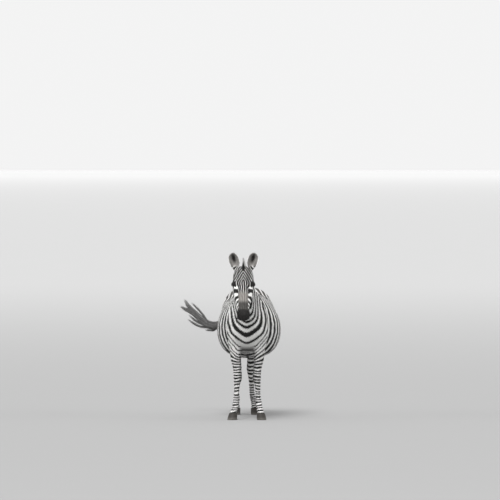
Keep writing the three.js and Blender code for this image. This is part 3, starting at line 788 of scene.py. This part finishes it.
def coat_colour(shader):
    """The markings' attributes as one colour, with hairy edges and slight unevenness."""
    fray = shader.math("MULTIPLY_ADD", shader.noise(260, 2), 0.36, -0.18)
    stripe = shader.math("ADD", shader.attribute("stripe"), fray)
    dark = shader.spread(stripe, -0.34, -0.14)
    uneven = shader.math("MULTIPLY_ADD", shader.attribute("tint"), 0.5, shader.noise(9, 3))
    light = shader.mix(uneven, WHITE, OFF_WHITE)
    striped = shader.mix(dark, light, BLACK)
    muted = shader.mix(shader.attribute("grey"), striped, GREY)
    return shader.mix(shader.attribute("soot"), muted, BLACK)


def coat_material():
    shader = Shader("coat_short")
    shader.set(Base_Color=coat_colour(shader), Roughness=0.72)
    shader.set(Sheen_Weight=0.06, Sheen_Roughness=0.4, Specular_IOR_Level=0.2)
    locks, hairs = shader.noise(420, 3, (1, 0.35, 0.25)), shader.noise(1500, 2, (1, 0.5, 0.16))
    shader.bump(shader.math("ADD", locks, hairs), 0.0010, 0.6)
    return shader.material


# ---------------------------------------------------------------- stage
FLOOR_RADIUS = 2400
# The floor's grey grows lighter with its distance: (from, to, the grey that it reaches there).
FLOOR_NEAR = 0.275
FLOOR_TONES = [(4, 60, 0.385), (60, 1200, 0.51)]
FLOOR_MOTTLE = 0.30
SUN_ANGLE = math.radians(28)
SKY_STRENGTH = 0.90
SUNS = [  # name, strength, and the direction that it shines from
    ("key", 3.5, (-0.15, -0.62, 0.74)),
    ("fill_left", 0.65, (0.90, -0.25, 0.30)),
    ("fill_right", 0.65, (-0.90, -0.25, 0.30)),
]


def grey_tone(level):
    return (level, level, level, 1)


def make_camera():
    data = bpy.data.cameras.new("camera")
    data.sensor_width = 36
    data.lens = FOCAL_PIXELS / FRAME_PIXELS * data.sensor_width
    data.clip_end = CAMERA_REACH
    camera = add_object("camera", data)
    camera.location = Vector(ORIGIN) + Vector((CAMERA_SIDE, -CAMERA_DISTANCE, CAMERA_HEIGHT))
    pitch = math.atan((FRAME_PIXELS / 2 - HORIZON_PIXEL) / FOCAL_PIXELS)
    camera.rotation_euler = (math.pi / 2 - pitch, 0, 0)
    bpy.context.scene.camera = camera


def make_floor():
    surface = bmesh.new()
    bmesh.ops.create_circle(surface, cap_ends=True, segments=96, radius=FLOOR_RADIUS)
    floor = add_object("floor", mesh_from(surface, "floor"))
    shader = Shader("floor_pale")
    place = shader.node("ShaderNodeTexCoord").outputs["Object"]
    reach = shader.node("ShaderNodeVectorMath", operation="LENGTH")
    shader.link(place, reach.inputs[0])
    distance = reach.outputs["Value"]
    tone = grey_tone(FLOOR_NEAR)
    for near, far, level in FLOOR_TONES:
        tone = shader.mix(shader.spread(distance, near, far), tone, grey_tone(level))
    mottle = shader.math("MULTIPLY", shader.noise(0.8, 4), 0.10)
    shader.set(Base_Color=shader.mix(mottle, tone, grey_tone(FLOOR_MOTTLE)), Roughness=0.9)
    floor.data.materials.append(shader.material)


def make_light():
    world = bpy.data.worlds.new("studio")
    world.use_nodes = True
    sky = world.node_tree.nodes["Background"]
    sky.inputs["Color"].default_value = (1, 1, 1, 1)
    sky.inputs["Strength"].default_value = SKY_STRENGTH
    bpy.context.scene.world = world
    for name, energy, towards in SUNS:
        data = bpy.data.lights.new(name, "SUN")
        data.angle = SUN_ANGLE
        data.energy = energy
        light = add_object(name, data)
        light.rotation_euler = Vector(towards).to_track_quat("Z", "Y").to_euler()
    bpy.context.scene.view_settings.view_transform = "Standard"


# ---------------------------------------------------------------- the skin
# Where the head's mesh is split finer: a place on its left side, how far round it, and how often.
FINER_BOTH_SIDES = [(EYE, 0.038, 2), (NOSTRIL, 0.034, 1)]
FINER_IN_FRONT = [((0, 0.070, 0.530), 0.075, 1), ((0, 0.095, 0.530), 0.075, 1)]  # the mouth


def make_skin():
    """Makes the skin, and returns its points, triangles and normals."""
    surface = flesh_surface()
    for side in (-1, 1):
        for place, radius, times in FINER_BOTH_SIDES:
            refine(surface, Vector(from_head(place * [side, 1, 1])), radius, times)
    for place, radius, times in FINER_IN_FRONT:
        refine(surface, Vector(from_head(place)), radius, times)
    points, triangles, edges = arrays_of(surface)
    surface.free()
    points = relaxed_skin(points, edges)
    normals = vertex_normals(points, triangles)
    points = points - normals * coat_depth(points)[:, None]
    points = sculpted_head(rounded_ears(points), vertex_normals(points, triangles))
    skin = mesh_object("skin", points, triangles)
    normals = vertex_normals(points, triangles)
    for name, values in zip(MARKS, markings(points, normals)):
        set_attribute(skin.data, name, values)
    skin.data.materials.append(coat_material())
    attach(skin, "root")
    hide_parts("neck", *[n for n in FLESH_FINE if not n.startswith("eye")], *FLESH_COARSE)
    return points, triangles, normals


# ---------------------------------------------------------------- eyes and hooves
IRIS_HALF = (0.0150, 0.0140)  # along the eye, and across it
PUPIL_HALF = (0.0082, 0.0042)
CORNEA_BULGE = 0.07  # as a share of the eye's radius
HOOF_VOXEL = 0.0045
HOOF_ROUNDS = 7
HOOF_RING = 0.0075  # from one growth ring to the next
CORONET_DEPTH = 0.010  # the soft band at the top of the hoof


def eye_material():
    shader = Shader("eye_gloss")
    place = shader.node("ShaderNodeTexCoord").outputs["Object"]
    apart = shader.node("ShaderNodeSeparateXYZ")
    shader.link(place, apart.inputs[0])
    u, v = apart.outputs["X"], apart.outputs["Y"]

    def oval(half_u, half_v):
        a = shader.math("POWER", shader.math("DIVIDE", u, half_u), 2.0)
        b = shader.math("POWER", shader.math("DIVIDE", v, half_v), 2.0)
        return shader.math("SQRT", shader.math("ADD", a, b))

    iris = shader.mix(shader.noise(700, 3), (0.004, 0.002, 0.0012, 1), (0.014, 0.007, 0.0035, 1))
    white = shader.mix(shader.noise(90, 2), (0.030, 0.018, 0.013, 1), (0.075, 0.052, 0.042, 1))
    colour = shader.mix(shader.spread(oval(*IRIS_HALF), 0.94, 1.06), iris, white)
    pupil = shader.spread(oval(*PUPIL_HALF), 1.1, 0.9)
    colour = shader.mix(pupil, colour, (0.001, 0.001, 0.0015, 1))
    shader.set(Base_Color=colour, Roughness=0.06, Specular_IOR_Level=0.1)
    shader.set(Coat_Weight=1.0, Coat_Roughness=0.02)
    return shader.material


def make_eyes():
    """Smooth eyeballs with a bulging cornea, in the places and size of the CAD ones."""
    out, along, jawward = eye_frame()
    material = eye_material()
    for name, side in (("left", 1), ("right", -1)):
        mirror = np.array([side, 1, 1])
        ball = bmesh.new()
        bmesh.ops.create_uvsphere(ball, u_segments=48, v_segments=32, radius=EYE_RADIUS)
        for vertex in ball.verts:
            lean = vertex.co.normalized().z
            vertex.co *= 1 + CORNEA_BULGE * float(ramp(lean, 0.70, 1.0))
        for face in ball.faces:
            face.smooth = True
        eye = add_object(f"eyeball_{name}", mesh_from(ball, f"eyeball_{name}"))
        eye.data.materials.append(material)
        centre = from_head(EYE * mirror)
        axes = [turned_from_head(a * mirror) for a in (along, jawward, out)]
        axes[1] = np.cross(axes[2], axes[0])  # so that the mirrored eye isn't inside out
        turn = Matrix(np.array(axes).T.tolist()).to_4x4()
        eye.matrix_world = Matrix.Translation(Vector(centre + ORIGIN)) @ turn
        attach(eye, "root")
        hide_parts(f"eye_{name}")


def hoof_material():
    """Horn: dark, with faint growth rings, fine upright grain and dust towards the ground."""
    shader = Shader("hoof_horn")
    grain = shader.noise(60, 3, (6, 6, 0.25))
    rings = shader.noise(38, 1, (0.15, 0.15, 4))
    tone = shader.mix(grain, (0.012, 0.011, 0.010, 1), (0.045, 0.040, 0.035, 1))
    height = shader.node("ShaderNodeSeparateXYZ")
    shader.link(shader.node("ShaderNodeTexCoord").outputs["Object"], height.inputs[0])
    low = shader.spread(height.outputs["Z"], 0.035, 0.0)
    dust = shader.math("MULTIPLY", low, shader.noise(45, 4))
    shader.set(Base_Color=shader.mix(dust, tone, (0.15, 0.14, 0.125, 1)), Roughness=0.6)
    shader.set(Specular_IOR_Level=0.25)
    shader.bump(shader.math("ADD", grain, shader.math("MULTIPLY", rings, 1.5)), 0.0011, 0.8)
    return shader.material


def make_hooves():
    """The hooves' walls, rounded and ringed, in the places and size of the CAD ones."""
    material = hoof_material()
    for foot in FEET:
        surface = remeshed([f"hoof_{foot}"], HOOF_VOXEL)
        points, triangles, edges = arrays_of(surface)
        surface.free()
        points = relaxed(points, edges, np.full(len(points), 0.5), HOOF_ROUNDS)
        z, top = points[:, 2], points[:, 2].max()
        wall = ramp(z, 0.004, 0.010) * ramp(top - z, 0.002, 0.006)
        coronet = ramp(top - z, CORONET_DEPTH, CORONET_DEPTH * 0.4)
        push = wall * (0.0004 * np.sin(2 * np.pi * z / HOOF_RING) + 0.0012 * coronet)
        points = points + vertex_normals(points, triangles) * push[:, None]
        points[:, 2] = np.where(z < 0.003, 0, z)  # a flat sole
        hoof = mesh_object(f"horn_{foot}", points, triangles)
        hoof.data.materials.append(material)
        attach(hoof, "root")
        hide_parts(f"hoof_{foot}")


# ---------------------------------------------------------------- hair as solid strands
BAKE_PATCH = 0.003  # each strand's patch of the unwrap, across


def strands(paths, widths, across, flat):
    """Closed three-sided strands, as points and triangles.

    paths: (n, rings + 2, 3), from root to tip; widths: the half width at each ring, (n, rings);
    across: the direction in which each strand is widest; flat: its thickness for its width.
    """
    count, steps = paths.shape[:2]
    rings = steps - 2
    along = unit(paths[:, 2:] - paths[:, :-2])
    lift = unit(np.cross(along, across[:, None, :]))
    side = np.cross(lift, along)
    angles = np.radians([270, 30, 150])  # a flat face on top
    ring = (
        paths[:, 1:-1, None, :]
        + side[:, :, None, :] * (widths[:, :, None, None] * np.cos(angles)[:, None])
        + lift[:, :, None, :] * (widths[:, :, None, None] * flat * np.sin(angles)[:, None])
    )
    points = np.concatenate([paths[:, :1], ring.reshape(count, rings * 3, 3), paths[:, -1:]], 1)
    tip = 1 + 3 * rings
    faces = []
    for i in range(3):
        j = (i + 1) % 3
        faces.append((0, 1 + j, 1 + i))
        faces.append((tip, tip - 3 + i, tip - 3 + j))
        for r in range(rings - 1):
            a = 1 + 3 * r
            faces += [(a + i, a + j, a + 3 + i), (a + j, a + 3 + j, a + 3 + i)]
    faces = np.array(faces)[None] + (np.arange(count) * (tip + 1))[:, None, None]
    return points.reshape(-1, 3), faces.reshape(-1, 3)


def hair_object(name, shape, material, marks, unwrap, replaces=()):
    """One piece of hair. marks: each mark's values, by strand or by point; unwrap: each root's place."""
    points, faces = shape
    made = mesh_object(name, points, faces)
    count = len(unwrap)
    per = len(points) // count
    for mark, values in marks.items():
        values = np.asarray(values)
        spread = values if values.size == len(points) else np.repeat(values, per)
        set_attribute(made.data, mark, spread.ravel())
    turn = np.linspace(0, 2 * np.pi, per, endpoint=False)
    patch = np.stack([np.cos(turn), np.sin(turn)], 1) * BAKE_PATCH / 2
    corners = (np.clip(unwrap, 0.004, 0.996)[:, None] + patch).reshape(-1, 2)[faces.ravel()]
    layer = made.data.uv_layers.new(name="OFBake")
    layer.data.foreach_set("uv", corners.astype(np.float32).ravel())
    made.data.materials.append(material)
    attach(made, "root")
    if replaces:
        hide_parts(*replaces)


def plain_marks(count, stripe, soot, grey):
    """The same marks for every strand, and a tint for each."""
    return {
        "stripe": np.full(count, stripe),
        "soot": np.full(count, soot),
        "grey": np.full(count, grey),
        "tint": rng.uniform(0, 1, count),
    }


def roots_on(points, triangles, normals, want, count):
    """Places scattered over the skin, as many on each triangle as want asks, and their normals."""
    total = np.cumsum(want)
    chosen = np.searchsorted(total, (np.arange(count) + rng.random(count)) / count * total[-1])
    a, b = np.sort(rng.random((2, count)), 0)
    share = np.stack([a, b - a, 1 - b], 1)[:, :, None]
    corners = triangles[chosen]
    return (points[corners] * share).sum(1), unit((normals[corners] * share).sum(1))


def bent_paths(root, way, fall, long):
    """Paths from just under the skin, each along its way and bending towards its fall."""
    return np.stack([root + (way * k + fall * k * k) * long for k in (-0.05, 0.35, 0.7, 1.0)], 1)


# ---------------------------------------------------------------- the short coat
def lie_of_coat(points, normals):
    """The way the hair points: down the face, back along the neck and trunk, down the legs."""
    on_head, on_leg = head_share(points)[:, None], leg_share(points)[:, None]
    body = np.array([0, 0.92, -0.40])
    way = lerp(body, np.array([0, 0.12, -1.0]), on_leg)
    way = lerp(way, np.array([0, -0.42, -0.90]), on_head)
    way = lerp(way, np.array([0, 0, 1.0]), ear_share(points)[:, None])
    way = lerp(way, np.array([-0.8, 0.2, -0.5]), tail_share(points)[:, None])
    way = way + 0.10 * normals
    return unit(way - normals * (way * normals).sum(1, keepdims=True))


# The (length, half width) of the tufts: smallest on the face and feet.
TUFT_BODY = np.array([0.0130, 0.0016])
TUFT_LEG = np.array([0.0085, 0.0011])
TUFT_HEAD = np.array([0.0075, 0.0008])
TUFT_MUZZLE = np.array([0.0048, 0.0006])
TUFT_EAR = np.array([0.010, 0.0013])


def tuft_size(points):
    """The tufts' length and half width at each point."""
    on_head = head_share(points)
    muzzle = ramp(to_head(points)[:, 2], 0.40, 0.52) * on_head
    size = lerp(TUFT_BODY, TUFT_LEG, leg_share(points)[:, None])
    size = lerp(size, TUFT_HEAD, on_head[:, None])
    size = lerp(size, TUFT_MUZZLE, muzzle[:, None])
    return lerp(size, TUFT_EAR, ear_share(points)[:, None]).T


COAT_REGIONS = {  # how many tufts each coat piece has
    "head": 30000,
    "neck": 32000,
    "barrel_left": 32000,
    "barrel_right": 32000,
    "rump": 32000,
    "legs_front": 26000,
    "legs_hind": 26000,
}


def region_of(points):
    """Which coat piece each point belongs to, as an index into COAT_REGIONS."""
    x, y, z = points.T
    names = list(COAT_REGIONS)
    leg = z < LEG_TOP_Z - 0.08
    choice = np.where(x > 0, names.index("barrel_left"), names.index("barrel_right"))
    choice = np.where(y < -0.45, names.index("neck"), choice)
    choice = np.where(y > 0.26, names.index("rump"), choice)
    belly = (np.abs(y) < 0.36) & leg
    choice = np.where(leg & ~belly & (y < 0), names.index("legs_front"), choice)
    choice = np.where(leg & ~belly & (y > 0), names.index("legs_hind"), choice)
    return np.where(head_share(points) > 0.5, names.index("head"), choice)


def unwrap_of(points, region):
    """A cylinder-like unwrap of each region's own shape: along its length, and round it."""
    x, y, z = points.T
    if region == "head":
        hx, hy, down = to_head(points).T
        along, around = (down + 0.20) / 0.78, np.arctan2(hx, -(hy - 0.06))
    elif region.startswith("legs"):
        centre_y = -0.54 if region == "legs_front" else 0.55
        side = np.where(x > 0.01, 1, -1)
        along = z / 0.75
        around = np.arctan2(x - 0.11 * side, -(y - centre_y)) / 2 + side * np.pi / 2
    elif region == "neck":
        along, around = (z - 0.55) / 1.0, np.arctan2(x, -(y + 0.42))
    elif region == "rump":
        along, around = (z - 0.55) / 0.8, np.arctan2(x, y - 0.25)
    else:
        along, around = (y + 0.45) / 0.72, np.arctan2(np.abs(x), z - 0.90) * 2 - np.pi
    return np.stack([0.01 + 0.98 * along, 0.5 + around / (2 * np.pi) * 0.98], 1)


def bare_share(points):
    """Where the skin shows: round the nostrils and the lids."""
    head = to_head(points)
    head[:, 0] = np.abs(head[:, 0])
    near_eye = ramp(np.linalg.norm(head - EYE, axis=1), 0.034, 0.028)
    near_nostril = ramp(np.linalg.norm(head - NOSTRIL, axis=1), 0.026, 0.018)
    return np.maximum(near_eye, near_nostril) * head_share(points)


def make_coat(points, triangles, normals):
    """Thin overlapping tufts all over the skin, each in the colour of the skin at its root."""
    material = coat_material()
    middles = points[triangles].mean(1)
    region = region_of(middles)
    length, width = tuft_size(middles)
    want = triangle_areas(points, triangles) / (length * width) * (1 - bare_share(middles))
    for index, (name, tufts) in enumerate(COAT_REGIONS.items()):
        mine = region == index
        root, normal = roots_on(points, triangles[mine], normals, want[mine], tufts)
        long, half = tuft_size(root)
        long = long * rng.uniform(0.75, 1.2, tufts)
        half = half * rng.uniform(0.8, 1.2, tufts)
        way = lie_of_coat(root, normal)
        across = np.cross(normal, way)
        way = unit(way + across * rng.normal(0, 0.13, (tufts, 1)))
        on_body, on_face = rng.uniform(0.08, 0.20, tufts), rng.uniform(0.02, 0.08, tufts)
        standing = lerp(on_body, on_face, head_share(root))
        lift = (long * standing)[:, None] * normal
        sunk = root - normal * half[:, None] * 0.5
        middle = root + way * long[:, None] * 0.42 + lift * 0.8
        tip = root + way * long[:, None] + lift
        shape = strands(np.stack([sunk, middle, tip], 1), half[:, None], across, 0.45)
        marks = dict(zip(MARKS, markings(root, normal)))
        marks["tint"] = rng.uniform(0, 1, tufts)
        hair_object(f"coat_{name}", shape, material, marks, unwrap_of(root, name))


# ---------------------------------------------------------------- the long hair
def smooth_path(controls, count=200):
    """A smooth line through the controls, as evenly spaced points."""
    p = np.array(controls, float)
    p = np.vstack([2 * p[0] - p[1], p, 2 * p[-1] - p[-2]])
    t = np.linspace(0, len(controls) - 1 - 1e-9, 40 * len(controls))
    i = t.astype(int)
    f = (t - i)[:, None]
    a, b, c, d = (p[i + k] for k in range(4))  # a Catmull-Rom curve through b and c
    line = b + 0.5 * f * (c - a + f * (2 * a - 5 * b + 4 * c - d + f * (3 * b - a - 3 * c + d)))
    length = np.r_[0, np.cumsum(np.linalg.norm(np.diff(line, axis=0), axis=1))]
    even = np.linspace(0, length[-1], count)
    return np.stack([np.interp(even, length, line[:, k]) for k in range(3)], 1)


def along_path(line, share):
    """The points at the given shares of a path's length."""
    place = np.clip(share, 0, 1) * (len(line) - 1)
    return np.stack([np.interp(place, np.arange(len(line)), line[:, k]) for k in range(3)], -1)


def hair_material(name, roughness):
    shader = Shader(name)
    shader.set(Base_Color=coat_colour(shader), Roughness=roughness)
    shader.set(Sheen_Weight=0.08, Sheen_Roughness=0.4, Specular_IOR_Level=0.35)
    shader.bump(shader.noise(900, 2), 0.0006, 0.4)
    return shader.material


MANE_STRANDS = 7500
MANE_HALF = 0.016  # half its thickness at the root
MANE_SUNK = 0.012  # how far the strands start below the crest
# Along the mane, from the withers to the forelock: how tall it stands and how it leans forwards.
MANE_AT = [0, 0.15, 0.40, 0.70, 0.88, 0.94, 0.98, 1]
MANE_TALL = [0.014, 0.058, 0.084, 0.092, 0.088, 0.080, 0.060, 0.028]
MANE_LEAN = [-0.3, -0.1, 0.05, 0.1, 0.2, 0.2, 0.1, 0.0]


def make_mane():
    """The upright mane: its hairs close to a ridge and carry the neck's stripes to dark tips."""
    line = smooth_path(
        [
            *bezier(CREST, [0.12, 0.34, 0.56, 0.78, 0.95]),
            (POLL[0], POLL[1] - 0.022, POLL[2] - 0.004),
            from_head([[0, -0.034, 0.066]])[0],
        ]
    )
    count = MANE_STRANDS
    at = (np.arange(count) + rng.random(count)) / count
    side = rng.uniform(-1, 1, count)
    forwards = unit(along_path(line, at + 0.01) - along_path(line, at - 0.01))
    sideways = np.array([1.0, 0, 0])
    up = unit(-np.cross(sideways, forwards) + np.interp(at, MANE_AT, MANE_LEAN)[:, None] * forwards)
    root = along_path(line, at) + sideways * (side * MANE_HALF)[:, None] - up * MANE_SUNK
    tall = np.interp(at, MANE_AT, MANE_TALL) * rng.uniform(0.84, 1.04, count) * (1 - 0.14 * side**2)
    tall += MANE_SUNK
    clump = WANDER_FINE(root * 2.2)[:, None] * 0.004 * forwards
    stray = rng.normal(0, 0.0022, (count, 3)) + clump
    steps = np.array([0, 0.36, 0.80, 1.0])
    inward = -sideways * (side * MANE_HALF * 0.72)[:, None]
    rising = up * tall[:, None] + inward
    paths = np.stack([root + rising * k + stray * k * k for k in steps], 1)
    widths = np.stack([np.full(count, 0.0017), np.full(count, 0.0014)], 1)
    shape = strands(paths, widths * rng.uniform(0.8, 1.2, (count, 1)), forwards, 0.6)
    rise = np.repeat(steps, [1, 3, 3, 1])
    soot = np.maximum(0.94 * ramp(rise, 0.72, 0.98)[None], ramp(at, 0.90, 0.95)[:, None])
    marks = {
        "stripe": body_stripes(root - up * 0.015),
        "soot": soot,
        "grey": np.zeros(count),
        "tint": rng.uniform(0, 1, count),
    }
    unwrap = np.stack([at, 0.5 + 0.45 * side], 1)
    material = hair_material("mane_hair", 0.6)
    hair_object("mane_hair", shape, material, marks, unwrap, ["mane"])


TAIL = [
    (0, 0.530, 1.225),
    (-0.006, 0.638, 1.193),
    (-0.062, 0.706, 1.105),
    (-0.160, 0.742, 0.990),
    (-0.262, 0.748, 0.905),
    (-0.330, 0.742, 0.882),
    (-0.408, 0.734, 0.901),
    (-0.478, 0.726, 0.959),
    (-0.548, 0.716, 1.029),
]
# The locks of the brush: the strands in each, its radius, how far along the tail it parts, and its
# own way from there.
LOCKS = [
    (1500, 0.041, 1.00, []),
    (1400, 0.033, 0.90, [(-0.579, 0.711, 1.060), (-0.609, 0.705, 1.100), (-0.637, 0.700, 1.154)]),
    (1200, 0.031, 0.86, [(-0.579, 0.713, 1.030), (-0.630, 0.711, 1.047), (-0.682, 0.708, 1.083)]),
    (260, 0.008, 0.74, [(-0.448, 0.722, 0.992), (-0.498, 0.712, 1.048), (-0.571, 0.700, 1.124)]),
    (260, 0.013, 0.66, [(-0.430, 0.736, 0.868), (-0.500, 0.734, 0.880), (-0.610, 0.724, 0.952)]),
    (200, 0.012, 0.72, [(-0.470, 0.730, 0.905), (-0.540, 0.728, 0.945), (-0.600, 0.720, 1.000)]),
    (180, 0.010, 0.58, [(-0.330, 0.744, 0.842), (-0.377, 0.742, 0.834), (-0.432, 0.736, 0.842)]),
]
BRUSH_FROM = 0.50  # the share of the tail's length where the brush starts
BRUSH_ROOTS = 0.55  # the share of a lock over which its strands' roots are spread


def make_brush():
    """The tail's long hair: locks that start round the dock and part towards their tips."""
    tail = smooth_path(TAIL, 300)
    paths, starts, turns = [], [], []
    steps = np.linspace(0, 1, 6)
    for count, radius, parts, rest in LOCKS:
        kept = np.linspace(BRUSH_FROM, parts, 6)
        line = smooth_path([*along_path(tail, kept), *rest])
        start = rng.uniform(0, BRUSH_ROOTS, count)
        reached, uneven = rng.uniform(0.34, 0.62, count), np.abs(rng.normal(0, 0.03, count))
        end = np.minimum(start + reached, 1 - uneven)
        turn, out = rng.uniform(0, 2 * np.pi, count), np.sqrt(rng.random(count))
        stray = rng.normal(0, 0.006, (count, 3))
        lock = []
        for k in steps:
            share = lerp(start, end, k)
            ahead = unit(along_path(line, share + 0.01) - along_path(line, share - 0.01))
            across = unit(np.cross([0, 1, 0], ahead))
            thick = radius * np.interp(share, [0, 0.2, 0.5, 0.85, 1], [0.42, 0.85, 1, 0.5, 0.06])
            lift = np.cos(turn)[:, None] * across
            lift = lift + 0.8 * np.sin(turn)[:, None] * np.cross(ahead, across)
            lock.append(along_path(line, share) + lift * (out * thick)[:, None] + stray * k * k)
        paths.append(np.stack(lock, 1))
        starts.append(start)
        turns.append(turn / (2 * np.pi))
    paths = np.concatenate(paths)
    count = len(paths)
    widths = np.array([0.0013, 0.0016, 0.0014, 0.0010]) * rng.uniform(0.7, 1.2, (count, 1))
    shape = strands(paths, widths, unit(rng.normal(size=(count, 3))), 0.6)
    marks = plain_marks(count, -1.0, 0.0, 0.0)
    marks["soot"] = rng.uniform(0.70, 0.92, count)
    unwrap = np.stack([np.concatenate(starts) / BRUSH_ROOTS, np.concatenate(turns)], 1)
    material = hair_material("tail_hair", 0.5)
    hair_object("tail_hair", shape, material, marks, unwrap, ["tail_brush"])


FRINGE_HAIRS = 1100
WHISKERS = 80
LASHES = 40
LASH_LENGTH = 0.013
# The ears' half width, and the shares of their length where they have it.
EAR_HALF_AT = [0, 0.20, 0.45, 0.68, 0.86, 0.96, 1]
EAR_HALF = [0.022, 0.033, 0.048, 0.051, 0.039, 0.022, 0.007]


def make_ear_fringe(points, triangles, normals):
    """Pale hair that grows from the ears' rims across their hollows."""
    count = FRINGE_HAIRS
    middles, facing = points[triangles].mean(1), normals[triangles].mean(1)
    across, _, along = to_ear(to_head(middles))
    rim = np.abs(across) / np.interp(along, EAR_HALF_AT, EAR_HALF)
    want = triangle_areas(points, triangles) * (ear_share(middles) > 0.5) * (facing[:, 1] < -0.1)
    want *= ramp(rim, 0.50, 0.75) * ramp(along, 0.10, 0.22) * ramp(along, 0.97, 0.90)
    root, normal = roots_on(points, triangles, normals, want, count)
    head = to_head(root)
    inward = -np.sign(to_ear(head)[0]) * np.sign(head[:, 0])
    way = np.stack([0.42 * inward, np.full(count, -0.30), np.full(count, 0.80)], 1)
    way = unit(way + rng.normal(0, 0.12, (count, 3)))
    long = rng.uniform(0.016, 0.030, count)[:, None]
    sag = np.stack([0.25 * inward, np.zeros(count), np.zeros(count)], 1)
    paths = bent_paths(root, way, sag, long)
    widths = np.array([0.0008, 0.0006]) * rng.uniform(0.8, 1.2, (count, 1))
    shape = strands(paths, widths, np.cross(way, normal), 0.5)
    marks = plain_marks(count, -1.0, 0.0, 0.80)
    material = hair_material("ear_hair", 0.6)
    hair_object("ear_fringe", shape, material, marks, unwrap_of(root, "head"))


def make_whiskers(points, triangles, normals):
    """Bristles of the lips and chin, and the upper lashes."""
    count = WHISKERS
    middles = points[triangles].mean(1)
    down = to_head(middles)[:, 2]
    want = triangle_areas(points, triangles) * head_share(middles) * ramp(down, 0.49, 0.53)
    root, normal = roots_on(points, triangles, normals, want, count)
    way = unit(normal + np.array([0, -0.10, -0.25]) + rng.normal(0, 0.15, (count, 3)))
    long = rng.uniform(0.012, 0.032, (count, 1))
    paths = [bent_paths(root, way, np.array([0, 0, -0.30]), long)]
    out, along, jawward = eye_frame()
    length, upper, _ = EYE_OPENING
    for side in (-1, 1):
        u = np.linspace(-0.9, 0.9, LASHES)[:, None] * length + rng.normal(0, 0.0003, (LASHES, 1))
        v = -upper * (1 - (u / length) ** 2) - 0.0012
        depth = np.sqrt((EYE_RADIUS + LID_THICKNESS) ** 2 - u * u - v * v)
        lash = EYE + out * depth + along * u + jawward * v
        way = unit(out * 0.9 - jawward * 0.25 + along * u / length * 0.5)
        droop = jawward * 0.12
        long = LASH_LENGTH * (1 - 0.4 * (u / length) ** 2)
        path = [lash + (way * k + droop * k * (1 - 1.4 * k)) * long for k in (-0.1, 0.35, 0.7, 1.0)]
        paths.append(np.stack([from_head(p * [side, 1, 1]) for p in path], 1))
    paths = np.concatenate(paths)
    count = len(paths)
    widths = np.tile([0.00032, 0.00024], (count, 1))
    shape = strands(paths, widths, np.tile([1.0, 0, 0], (count, 1)), 1.0)
    material = hair_material("bristle", 0.45)
    marks = plain_marks(count, 1.0, 1.0, 0.0)
    hair_object("whiskers", shape, material, marks, unwrap_of(paths[:, 0], "head"))


# ---------------------------------------------------------------- the making
make_camera()
make_floor()
make_light()
skin = make_skin()
make_eyes()
make_hooves()
make_coat(*skin)
make_mane()
make_brush()
make_ear_fringe(*skin)
make_whiskers(*skin)
